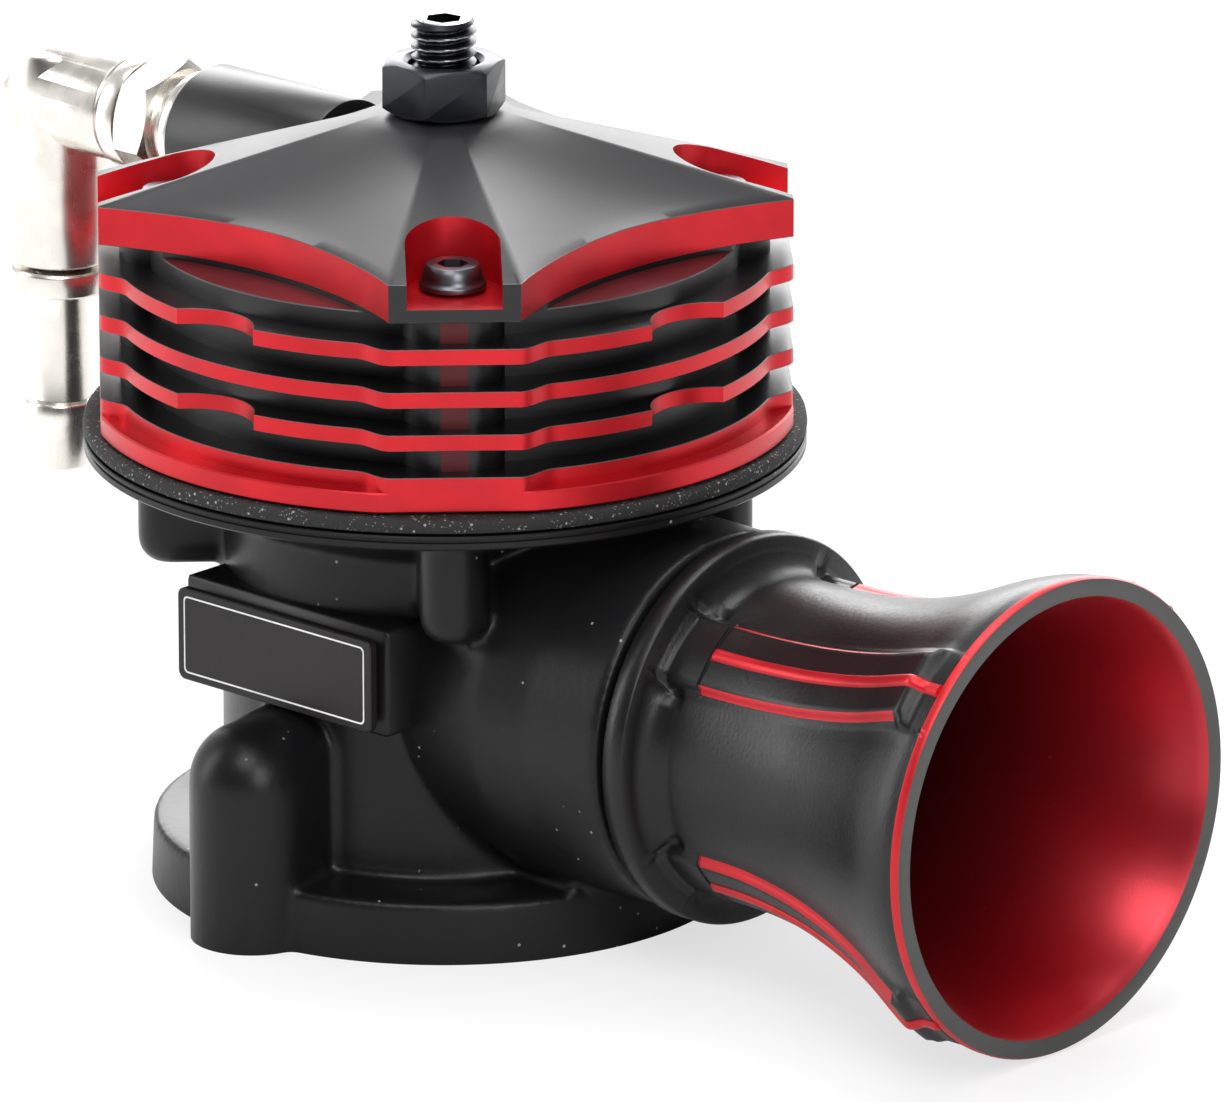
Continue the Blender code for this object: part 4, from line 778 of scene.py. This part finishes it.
def lock_nut():
    """Hexagon nut, chamfered at both ends and in its bore, turned as the photograph has it."""
    low, high = 73.1, 77.9
    obj = piece("chamfered_lock_nut", bar(hexagon(10.0, -4.2), low, high), ["steel_black"])
    boolean(obj, "INTERSECT", lathe(chamfered(low, high, 4.85, 5.85, 0.55), 96))
    bore = [
        (0, low - 1), (3.75, low - 1), (3.75, low), (3.3, low + 0.4),
        (3.3, high - 0.4), (3.75, high), (3.75, high + 1), (0, high + 1),
    ]
    cut(obj, lathe(bore, 64))
    bevel = obj.modifiers.new("corners", "BEVEL")
    bevel.width = 0.12 * MM
    bevel.segments = 2
    bevel.limit_method = "ANGLE"
    bevel.angle_limit = math.radians(50)
    settle(obj, 35)
    dress(obj, "locking_nut", "blackened_steel", "lock_nut")


# The cast body

BODY_TOP = 42.7
LUG = 3.1
LUG_BOTTOM = 30.4
BOSS = 5.7
BOSS_ANGLES = (-90, 30, 150)
BOLT_CIRCLE = 26.6
BOLT_HOLE = 2.6
CUT_BELOW = 1.5
PIPE_END = 35


def block(low, high):
    bm = bmesh.new()
    bmesh.ops.create_cube(bm, size=1.0)
    size = Vector(high) - Vector(low)
    centre = (Vector(high) + Vector(low)) / 2
    bm.transform(AT_AXIS @ Matrix.Translation(centre) @ Matrix.Diagonal((*size, 1)))
    return bm


def skin_of(points):
    """The convex skin round a cloud of points."""
    bm = bmesh.new()
    for point in points:
        bm.verts.new(point)
    made = bmesh.ops.convex_hull(bm, input=bm.verts)
    inside = [item for item in made["geom_interior"] if isinstance(item, bmesh.types.BMVert)]
    bmesh.ops.delete(bm, geom=inside, context="VERTS")
    return bm


def screw_lug():
    """Lug under the rim round a cap screw, reaching into the neck."""
    points = []
    for centre in (17.0, SCREW_CIRCLE):
        points += [(x, y, BODY_TOP - 0.7) for x, y in circle(LUG, (centre, 0))]
        for i in range(7):
            angle = math.radians(15 * i)
            radius = LUG - 2.0 * (1 - math.cos(angle))
            low = LUG_BOTTOM + 2.2 * (1 - math.sin(angle))
            points += [(x, y, low) for x, y in circle(radius, (centre, 0))]
    return skin_of(points)


def bolt_boss():
    """Blind boss on the flange: upright, round on top, with its roof climbing to the neck."""
    points = []
    for centre, radius, rise in ((25.9, BOSS, -0.4), (19.0, 4.3, 2.0)):
        points += [(x, y, -CUT_BELOW) for x, y in circle(radius, (centre, 0))]
        for i in range(13):
            angle = math.radians(7 * i)
            high = 15.3 + rise + radius * math.sin(angle)
            points += [(x, y, high) for x, y in circle(radius * math.cos(angle), (centre, 0))]
    return skin_of(points)


def joined(meshes):
    """One mesh holding several closed shells."""
    bm = bmesh.new()
    for part in meshes:
        bmesh.ops.recalc_face_normals(part, faces=part.faces)
        scrap = bpy.data.meshes.new("scrap")
        part.to_mesh(scrap)
        part.free()
        bm.from_mesh(scrap)
        bpy.data.meshes.remove(scrap)
    return bm


def turned_about(bm, degrees):
    bm.transform(AT_AXIS @ Matrix.Rotation(math.radians(degrees), 4, "Z"))
    return bm


def nameplate_pad():
    """Block that carries the nameplate: crisp edges, its back inside the neck."""
    outline = [(-12.6, 20.7), (12.9, 20.7), (12.9, 30.9), (-12.6, 30.9)]
    bm = bevelled(eased(outline, 0.6, True), 14.5, 21.3, 0.25)
    bm.transform(AT_AXIS @ Matrix.Rotation(math.pi / 2, 4, "X"))
    return bm


def cast_body():
    """Shells joined, remeshed and smoothed for cast fillets, then the crisp pad, the flat base
    and the machined bores."""
    outside = [
        (0, -CUT_BELOW), (27.4, -CUT_BELOW), (27.1, 5.8), (20.6, 5.8), (20.6, 36.2),
        (22.6, 38.6), (31.4, 41.2), (32.6, 41.2), (32.6, BODY_TOP - 0.25), (0, BODY_TOP - 0.25),
    ]
    shells = [lathe(outside, 192)]
    shells += [turned_about(screw_lug(), 45 + 90 * corner) for corner in range(4)]
    shells += [turned_about(bolt_boss(), angle) for angle in BOSS_ANGLES]
    pipe = [(0, 8), (17.6, 8), (18.2, 20.6), (17.7, 26), (17.6, PIPE_END), (0, PIPE_END)]
    shells.append(lathe(pipe, place=ALONG_OUTLET))
    shells.append(block((15, -9.8, 3), (25, 9.8, 12.5)))
    obj = piece("cast_body", joined(shells), ["cast_black"])
    remesh = obj.modifiers.new("cast_skin", "REMESH")
    remesh.mode = "VOXEL"
    remesh.voxel_size = 0.42 * MM
    smooth = obj.modifiers.new("cast_fillets", "SMOOTH")
    smooth.factor = 0.5
    smooth.iterations = 6
    settle(obj, 60)
    fuse(obj, nameplate_pad())
    below = [(-40, -40), (40, -40), (40, 40), (-40, 40)]
    cut(obj, bar(below, -9, 0))
    inside = [
        (0, -1), (13, -1), (13, 15.6), (14, 15.6), (14.6, 15.0), (17.6, 15.0), (17.6, 32),
        (16.1, 33.5), (5.5, 33.5), (5.5, 38.4), (18.3, 38.4), (21.3, 40.4), (21.3, 44), (0, 44),
    ]
    cut(obj, lathe(inside, 128))
    outlet = [(0, 14.8), (12.6, 14.8), (12.6, 29), (14.9, 29), (14.9, PIPE_END + 1), (0, PIPE_END + 1)]
    cut(obj, lathe(outlet, 96, place=ALONG_OUTLET))
    groove = [(15.55, -1), (17.45, -1), (17.45, 1.9), (15.55, 1.9)]
    cut(obj, lathe(groove, 96))
    for corner in range(4):
        cut(obj, bar(circle(SCREW_HOLE), 33.4, 44, 0, at_screw(corner)))
    for angle in BOSS_ANGLES:
        cut(obj, bar(circle(BOLT_HOLE), -1, 11, 0, at_angle(BOLT_CIRCLE, angle)))
    settle(obj, 60)
    dress(obj, "valve_body", "cast_black", "main_body")


def body_rim():
    """Machined edge of the body under the diaphragm, with a fine groove round it."""
    ring = [
        (22, 41.35), (33.0, 41.35), (33.2, 41.55), (33.2, 42.05), (33.0, 42.15), (33.0, 42.3),
        (33.2, 42.4), (33.2, 42.6), (33.1, BODY_TOP), (22, BODY_TOP),
    ]
    rim = piece("body_rim", lathe(ring, 256), ["cast_black"])
    dress(rim, "valve_body", "cast_black")


# The outlet funnel, drawn along its own axis

MOUTH = 75.1
LIP = 0.06
RIB_HALF = 3.1
RIB_FOOT = 3.8
FILLET_END = 4.7
BEAD_HALF = 0.62
BEAD_RISE = 0.36
CHAMFER = 0.72
RIB_START = 43.15
RIB_END = 71.0
RIB_END_RADIUS = 22.05
COLLAR_FACE = 38.5
COLLAR_FILLET = 2.8
FLOOR_START = 41.3
SKIN, LINE, BORE, FRONT = range(4)
FUNNEL_PAINTS = ["funnel_black", "funnel_red", "bore_red", "rim_grey"]
RECESS = [
    (FLOOR_START, 14.7), (45, 14.72), (50, 15.05), (54, 15.6), (57, 16.25), (61, 17.4), (65, 18.9),
    (69, 20.65), (71.5, 21.5), (73, 21.8), (74.2, 21.85),
]
RIB = [
    (39, 15.55), (43.1, 15.56), (47, 15.62), (50, 15.85), (54, 16.44), (57, 17.1), (61, 18.28),
    (65, 19.81), (69, 21.72), (71.2, 22.7), (74.2, 23.6),
]
BORE_KNOTS = [
    (29.3, 12.6), (38.5, 12.6), (45, 12.8), (52, 13.4), (58, 14.5), (64, 16.1), (70, 18.1), (MOUTH, 20.26),
]


def smoothstep(t):
    t = min(max(t, 0.0), 1.0)
    return t * t * (3 - 2 * t)


def curve_through(knots, x):
    """A smooth height through (x, value) knots."""
    if x <= knots[0][0]:
        return knots[0][1]
    for i in range(len(knots) - 1):
        x0, y0 = knots[i]
        x1, y1 = knots[i + 1]
        if x <= x1:
            before = knots[max(i - 1, 0)]
            after = knots[min(i + 2, len(knots) - 1)]
            m0 = (y1 - before[1]) / (x1 - before[0]) if i else (y1 - y0) / (x1 - x0)
            m1 = (after[1] - y0) / (after[0] - x0)
            h = x1 - x0
            t = (x - x0) / h
            return (
                (2 * t**3 - 3 * t**2 + 1) * y0 + (t**3 - 2 * t**2 + t) * h * m0
                + (3 * t**2 - 2 * t**3) * y1 + (t**3 - t**2) * h * m1
            )
    return knots[-1][1]


def recess_radius(x):
    """Bottom of the recess between two ribs, with a fillet to the collar."""
    if x >= FLOOR_START:
        return curve_through(RECESS, x)
    short = min(FLOOR_START - x, COLLAR_FILLET)
    return RECESS[0][1] + COLLAR_FILLET - math.sqrt(COLLAR_FILLET**2 - short**2)


def rib_radius(x):
    """Top of a rib: it leaves the collar by a small fillet and steps down before the rim."""
    radius = curve_through(RIB, x) + 0.9 * (1 - smoothstep((x - COLLAR_FACE) / 0.9))
    end = smoothstep((x - RIB_END) / 2.0)
    return radius + (RIB_END_RADIUS - radius) * end


def funnel_point(x, offset, part):
    """Radius, angle from the rib and finish. Offset is the distance from the rib's middle line,
    and part runs from 0 at the rib's foot to 1 halfway to the next rib."""
    top = rib_radius(x)
    floor = recess_radius(x)
    angle = math.degrees(math.asin(offset / top))
    if part > 0:
        return floor, angle + (45 - angle) * part, SKIN
    radius = top
    index = SKIN
    if offset <= BEAD_HALF + 0.01:
        grow = smoothstep((x - RIB_START) / 0.4)
        radius += BEAD_RISE * math.sqrt(max(0.0, 1 - (offset / BEAD_HALF) ** 2)) * grow
        index = LINE if x > RIB_START else SKIN
    if offset > RIB_HALF:
        depth = min((offset - RIB_HALF) / (RIB_FOOT - RIB_HALF), 1.0)
        radius -= CHAMFER * depth * smoothstep((RIB_END + 1.2 - x) / 1.2)
    on_chamfer = RIB_HALF - 0.01 <= offset <= RIB_FOOT + 0.01
    if on_chamfer and RIB_START < x < RIB_END - 0.1:
        index = LINE
    if offset > RIB_FOOT:
        side = smoothstep((offset - RIB_FOOT) / (FILLET_END - RIB_FOOT))
        radius += (floor - radius) * side
        cutter_mark = 1 - ((x - 40.3) / 1.25) ** 2 - ((offset - FILLET_END) / 1.3) ** 2
        radius -= 0.5 * max(cutter_mark, 0.0)
        index = SKIN
    in_groove = abs(x - RIB_START) < 0.12
    if in_groove and offset <= RIB_FOOT:
        radius -= 0.15
    return radius, angle, index


def funnel_rows():
    """Places along the funnel, close together at the collar, the groove and the ribs' ends."""
    rows = [38.6 + 0.2 * i for i in range(22)]
    rows += [RIB_START + step for step in (-0.13, -0.06, 0.02, 0.1, 0.25)] + [43.6, 43.9]
    rows += [44.4 + 0.6 * i for i in range(44)]
    rows += [RIB_END - 0.25, RIB_END - 0.1] + [RIB_END + 0.2 * i for i in range(17)]
    return rows


def funnel_columns():
    """Offsets from a rib's middle line, then parts of the way to the next rib, both ways round."""
    half = []
    knots = (0, BEAD_HALF, RIB_HALF, RIB_FOOT, FILLET_END)
    for first, last, steps in zip(knots, knots[1:], (5, 5, 2, 5)):
        half += [(first + (last - first) * i / steps, 0) for i in range(steps)]
    half += [(FILLET_END, i / 12) for i in range(13)]
    around = [(offset, part, -1) for offset, part in reversed(half[1:])]
    around += [(offset, part, 1) for offset, part in half[:-1]]
    return [(45 + 90 * quarter, *column) for quarter in range(4) for column in around]


def outlet_funnel():
    """One closed skin of rows round the axis: spigot, collar, ribbed outside, rim and bore."""
    columns = funnel_columns()
    rows = []

    def angle_at(x, column):
        middle, offset, part, way = column
        return middle + way * funnel_point(x, offset, part)[1]

    def plain(radius, x, index, spread):
        """A round row, its columns at the angles that they have at x = spread."""
        rows.append([(radius, x, angle_at(spread, column), index) for column in columns])

    spigot = eased([(12.6, 29.3), (14.6, 29.3), (14.6, 31)], 0.2)
    spigot += [(13.5, 31), (13.5, 33), (14.6, 33), (14.6, 35.3), (16.5, 35.3)]
    collar = [(16.6, 35.4), (16.6, 36.1), (17.85, 36.1), (18.1, 36.35), (18.1, 38.25), (17.9, COLLAR_FACE)]
    for radius, x in spigot + collar:
        plain(radius, x, SKIN, COLLAR_FACE)
    for x in funnel_rows():
        row = []
        for middle, offset, part, way in columns:
            radius, angle, index = funnel_point(x, offset, part)
            row.append((radius, x, middle + way * angle, index))
        rows.append(row)
    rim = [
        (21.98, 74.25, LINE), (21.98, 74.9, LINE), (21.86, MOUTH, FRONT), (20.32, MOUTH, FRONT),
        (20.26, MOUTH - LIP, BORE),
    ]
    for radius, x, index in rim:
        plain(radius, x, index, MOUTH - 1)
    steps = 40
    for i in range(1, steps + 1):
        x = MOUTH - LIP + (30.0 - MOUTH) * i / steps
        plain(curve_through(BORE_KNOTS, x), x, BORE, max(x, 45))

    def finish(step, i, _):
        """A face takes its row's finish only where both its corners have it."""
        return min(rows[step][i][3], rows[step][(i + 1) % len(columns)][3])

    bm = bmesh.new()
    rings = [[bm.verts.new((*polar(radius, angle), x)) for radius, x, angle, _ in row] for row in rows]
    stitch(bm, rings + rings[:1], finish)
    bm.transform(ALONG_OUTLET)
    obj = piece("ribbed_funnel", bm, FUNNEL_PAINTS, 52)
    dress(obj, "valve_body", "anodised_red", "outlet_funnel")


# The hose fitting

ELBOW_AT_PORT = AT_AXIS @ Matrix.Translation((-49.6, 0, 0))
CORNER_CUT = 2.95


def port_fitting():
    """Washer, adaptor and the adaptor's hexagon, along the cap's port."""
    washer = lathe([(3.3, 30), (5.5, 30), (5.5, 31.4), (3.3, 31.4)], 96, 0, 0.25, ALONG_PORT)
    dress(piece("turned_washer", washer, ["nickel_arm"]), "valve_body", "nickel", "port_washer")

    tube = [(2, 19.3), (3, 19.3), (3, 31.7), (4.5, 31.7), (4.5, 34), (3, 34), (3, 44.3), (2, 44.3)]
    adaptor = piece("hexagon_adaptor", lathe(tube, 96, 0, 0.1, ALONG_PORT), ["nickel_arm"])
    low, high = 33.3, 37.3
    nut = piece("adaptor_hexagon", bar(hexagon(10.5, 12), low, high, 0, ALONG_PORT), ["nickel_arm"])
    boolean(nut, "INTERSECT", lathe(chamfered(low, high, 5.2, 6.07, 0.5), 96, place=ALONG_PORT))
    cut(nut, lathe([(0, 30), (2.9, 30), (2.9, 40), (0, 40)], 64, place=ALONG_PORT))
    settle(nut, 28)
    dress(nut, "valve_body", "nickel")
    dress(adaptor, "valve_body", "nickel", "port_adaptor")


def hose_elbow():
    """Arm along the port and leg below it, with the outer corner cut at 45 degrees."""
    arm = [
        (0, 37.6), (5.3, 37.6), (5.3, 39.6), (4.75, 39.75), (4.75, 40.1), (5.0, 40.3),
        (5.0, 51.4), (4.3, 53.0), (0, 53.0),
    ]
    elbow = piece("mitred_elbow", lathe(arm, 128, 0, 0.2, ALONG_PORT), ["nickel"])
    leg = [
        (0, 49.0), (4.6, 49.0), (4.9, 49.25), (4.9, PORT_HEIGHT + 1.0), (4.2, PORT_HEIGHT + 4.3),
        (0, PORT_HEIGHT + 4.6),
    ]
    fuse(elbow, lathe(leg, 128, 0, 0.3, ELBOW_AT_PORT))
    bend = Matrix.Translation((0, 0, PORT_HEIGHT)) @ Matrix.Rotation(math.radians(-45), 4, "Y")
    cut(elbow, bar([(-9, -9), (9, -9), (9, 9), (-9, 9)], CORNER_CUT, 12, 0, ELBOW_AT_PORT @ bend))
    arm_bore = [
        (0, 36), (3.3, 36), (3.3, 38.2), (4.3, 38.2), (4.3, 39.6), (3.3, 39.6), (3.3, 44.6),
        (2.4, 44.6), (2.4, 50.6), (0, 50.6),
    ]
    cut(elbow, lathe(arm_bore, 48, place=ALONG_PORT))
    leg_bore = [(0, 48), (3.3, 48), (3.3, 54), (2.4, 54), (2.4, PORT_HEIGHT), (0, PORT_HEIGHT)]
    cut(elbow, lathe(leg_bore, 48, place=ELBOW_AT_PORT))
    settle(elbow, 25)
    dress(elbow, "elbow", "nickel", "hose_elbow")


def hose_barb():
    barb = [
        (1.7, 28.7), (2.3, 28.7), (2.5, 29.0), (3.62, 33.2), (3.68, 33.5), (3.66, 35.1), (3.5, 35.4),
        (2.83, 35.5), (2.83, 45.9), (4.5, 46.1), (4.72, 46.35), (4.72, 48.2), (4.5, 48.5), (3, 48.6),
        (3, 53.7), (1.7, 53.7),
    ]
    obj = piece("turned_barb", lathe(barb, 96, 0, 0.08, ELBOW_AT_PORT), ["nickel"])
    dress(obj, "elbow", "nickel", "hose_barb")


# Nameplate, diaphragm and spring

def rounded(half_width, half_height, corner):
    """Outline of a rectangle with round corners."""
    points = []
    for quadrant, (sx, sy) in enumerate(((1, 1), (-1, 1), (-1, -1), (1, -1))):
        for i in range(7):
            x, y = polar(corner, 90 * quadrant + 90 * i / 6)
            points.append((sx * (half_width - corner) + x, sy * (half_height - corner) + y))
    return points


def nameplate():
    """A plain plate: dark face with one thin pale border line."""
    back, front, centre = 22.0, 22.9, 25.75
    outlines = [
        rounded(12.1, 4.3, 0.7), rounded(12.2, 4.4, 0.8), rounded(12.2, 4.4, 0.8), rounded(12.08, 4.28, 0.7),
        rounded(11.40, 3.70, 0.5), rounded(11.24, 3.54, 0.4),
    ]
    heights = [back, back + 0.1, front - 0.12, front, front, front]
    bm = sleeve(outlines, heights, lambda step, *_: 1 if step == 4 else 0)
    bm.transform(AT_AXIS @ Matrix.Translation((0, 0, centre)) @ Matrix.Rotation(math.pi / 2, 4, "X"))
    obj = piece("plain_nameplate", bm, ["plate", "border"])
    dress(obj, "valve_body", "plate_black", "nameplate")


FOLD_INNER = 15.6
FOLD_WIDTH = 4.6
FOLD_OUTER = FOLD_INNER + FOLD_WIDTH
FOLD_DEPTH = 2.2
DIAPHRAGM_LOW = 42.95
DIAPHRAGM_TOP = 44.25


def diaphragm():
    """Rim and middle as rings, and between them a rolled fold in eight parts."""
    top, bottom = DIAPHRAGM_TOP, DIAPHRAGM_LOW
    edge = [(33.0, bottom), (33.15, bottom + 0.15), (33.25, 43.5), (33.15, top - 0.15), (33.0, top)]
    rim = [(FOLD_OUTER, bottom)] + edge + [(FOLD_OUTER, top)]
    obj = piece("diaphragm_rim", lathe(rim, 256), ["rubber"])
    for corner in range(4):
        cut(obj, bar(circle(SCREW_HOLE), 42, 45, 0, at_screw(corner)))
    settle(obj, 40)
    dress(obj, "valve_body", "rubber", "diaphragm")
    disc = [(2.8, bottom), (FOLD_INNER, bottom), (FOLD_INNER, top), (2.8, top)]
    dress(piece("diaphragm_middle", lathe(disc, 128), ["rubber"]), "valve", "rubber")
    half = (top - bottom) / 2
    upper, lower = [], []
    for k in range(15):
        t = k / 14
        radius = FOLD_INNER + FOLD_WIDTH * t
        height = bottom + half - FOLD_DEPTH * math.sin(math.pi * t) ** 2
        upper.append((radius, height + half))
        lower.append((radius, height - half))
    section = upper + lower[::-1]
    for part in range(8):
        angles = [45 * part + 45 * (i - 4) / 8 for i in range(9)]
        bm = capped([[(*polar(r, angle), z) for r, z in section] for angle in angles])
        bm.transform(AT_AXIS)
        fold = piece(f"diaphragm_fold_{part + 1}", bm, ["rubber"], 60)
        outer = (AT_AXIS @ Vector((*polar(FOLD_OUTER, 45 * part), bottom + half))) * MM
        inner = (AT_AXIS @ Vector((*polar(FOLD_INNER, 45 * part), bottom + half))) * MM
        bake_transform(fold)


SPRING_TOP = 62.6


def main_spring():
    """A drawn wire spring with closed ends, as one tube."""
    wire, mean = 0.85, 8.3
    low, high = 46.25 + wire, SPRING_TOP - wire
    turns, dead = 4.2, 0.9
    dead_rise = 2 * wire * dead + 0.3
    live = turns - 2 * dead
    sides, count = 14, 220
    rings = []
    for i in range(count + 1):
        turn = turns * i / count
        along = min(max(turn - dead, 0), live)
        height = low + dead_rise * (turn - along) / dead + (high - low - 2 * dead_rise) * along / live
        angle = 360 * turn
        ring = []
        for k in range(sides):
            out, up = polar(wire, 360 * k / sides)
            ring.append((*polar(mean + out, angle), height + up))
        rings.append(ring)
    bm = capped(rings)
    bm.transform(AT_AXIS)
    obj = piece("drawn_spring", bm, ["steel"], 60)
    dress(obj, "valve_body", "bright_steel", "main_spring")
    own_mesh(obj)


def repaint(paint, *nodes):
    for node in nodes:
        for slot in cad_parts[node].material_slots:
            slot.material = FINISH[paint].material


# Studio

def light(name, size, place, target, power, size_y=None):
    data = bpy.data.lights.new(name, "AREA")
    data.energy = power
    data.size = size
    if size_y:
        data.shape = "RECTANGLE"
        data.size_y = size_y
    obj = add_object(name, data)
    obj.location = place
    aim = Vector(target) - Vector(place)
    obj.rotation_euler = aim.to_track_quat("-Z", "Y").to_euler()


BACKDROP_WAY = (-0.678, 0.735, 0.0)
LEFT_WAY = (-0.735, -0.678, 0.0)
ROOM_DARK = 0.10
DAYLIGHT = 0.34
FLOOR_GLOW = 0.68
FLOOR_DROP = 0.00002
PHOTO_WIDTH = 1227
FOCAL_LENGTH = 13817
CAMERA_PLACE = (0.83241 + AXIS_X * MM, -0.88054, 0.41978)
AZIMUTH, ELEVATION = math.radians(42.66), math.radians(17.80)


def studio():
    """White behind the valve and beside it, dim on the camera's side, five soft lights."""
    world = bpy.data.worlds.new("white_studio")
    bpy.context.scene.world = world
    world.use_nodes = True
    net = Net(world.node_tree)
    camera_ray = net.node("ShaderNodeLightPath", output="Is Camera Ray")
    glossy_ray = net.node("ShaderNodeLightPath", output="Is Glossy Ray")
    clear_ray = net.node("ShaderNodeLightPath", output="Is Transmission Ray")
    towards = net.node("ShaderNodeTexCoord", output="Generated")

    def share(way):
        return net.node("ShaderNodeVectorMath", {"operation": "DOT_PRODUCT"}, {0: towards, 1: way}, "Value")

    away, left, height = share(BACKDROP_WAY), share(LEFT_WAY), share((0, 0, 1))
    behind = net.between(away + left * 0.30, -0.25, 0.35, ROOM_DARK, 1.0)
    behind = behind * net.between(height, 0.40, 0.75, 1.0, 0.45)
    below = net.between(height, -0.35, -0.02, 0.85, 0.0)
    above = net.between(height, 0.2, 0.9, 0.0, 0.5)
    room = net.maths("MAXIMUM", net.maths("MAXIMUM", behind, below), above)
    plain = glossy_ray * room + (1 - glossy_ray) * DAYLIGHT
    seen = net.maths("MAXIMUM", camera_ray, clear_ray)
    level = net.maths("MAXIMUM", seen, plain)
    net.feed(net.tree.nodes["Background"].inputs["Strength"], level)
    net.feed(net.tree.nodes["Background"].inputs["Color"], (1, 1, 1))

    middle = (0.0, 0.0, 0.035)
    light("softbox_above", 0.45, (-0.12, 0.05, 0.75), middle, 3.4)
    light("softbox_front", 0.30, (0.17, -0.34, 0.52), (0.055, 0.0, 0.02), 1.5)
    light("strip_left", 0.20, (-0.62, -0.42, 0.25), middle, 1.9, 0.6)
    light("strip_right", 0.34, (0.74, -0.40, 0.42), middle, 4.0, 0.5)
    light("panel_back", 0.9, (-0.42, 0.58, 0.34), middle, 6.5, 0.4)


def floor():
    """White floor that glows a little for the camera alone, so its far part meets the backdrop."""
    bm = bmesh.new()
    half = 1.5
    corners = [bm.verts.new((x * half, y * half, 0)) for x, y in ((-1, -1), (1, -1), (1, 1), (-1, 1))]
    bm.faces.new(corners)
    mesh = bpy.data.meshes.new("studio_floor")
    bm.to_mesh(mesh)
    bm.free()
    obj = add_object("studio_floor", mesh)
    obj.location = (0, 0, -FLOOR_DROP)
    paint = Paint("white_floor", (0.86, 0.86, 0.86), 0.7)
    paint.set("Specular IOR Level", 0.0)
    glow = paint.node("ShaderNodeEmission", None, {"Color": (1.0, 1.0, 1.0), "Strength": 1.0}, "Emission")
    seen = paint.node("ShaderNodeLightPath", output="Is Camera Ray")
    lit = Wire(paint, paint.shader.outputs[0])
    mix = paint.node("ShaderNodeMixShader", None, {0: seen * FLOOR_GLOW, 1: lit, 2: glow})
    out = paint.tree.nodes["Material Output"]
    paint.tree.links.new(mix.socket, out.inputs["Surface"])
    mesh.materials.append(paint.material)


def camera():
    """The photograph's camera, solved from it. The focal length is in the photograph's pixels."""
    level = math.cos(ELEVATION)
    back = Vector((math.sin(AZIMUTH) * level, -math.cos(AZIMUTH) * level, math.sin(ELEVATION)))
    data = bpy.data.cameras.new("photo_camera")
    data.sensor_fit = "HORIZONTAL"
    data.sensor_width = 36.0
    data.lens = FOCAL_LENGTH / PHOTO_WIDTH * data.sensor_width
    data.clip_end = 20
    obj = add_object("photo_camera", data)
    turn = (-back).to_track_quat("-Z", "Y")
    obj.rotation_euler = turn.to_euler()
    obj.location = CAMERA_PLACE
    bpy.context.scene.camera = obj


def main():
    cap()
    for number in range(4):
        cap_screw(number)
    set_screw()
    lock_nut()
    cast_body()
    body_rim()
    outlet_funnel()
    port_fitting()
    hose_elbow()
    hose_barb()
    nameplate()
    diaphragm()
    main_spring()
    repaint("steel", "valve_stem", "stem_nut", "poppet_nut")
    repaint("aluminium", "spring_seat", "upper_plate", "lower_plate", "valve_poppet")
    repaint("seal_rubber", "poppet_seal", "base_seal", "funnel_seal", "swivel_seal", "nameplate_tape")
    repaint("bronze", "guide_bush")
    studio()
    floor()
    camera()
    bpy.context.scene.view_settings.view_transform = "Standard"


main()
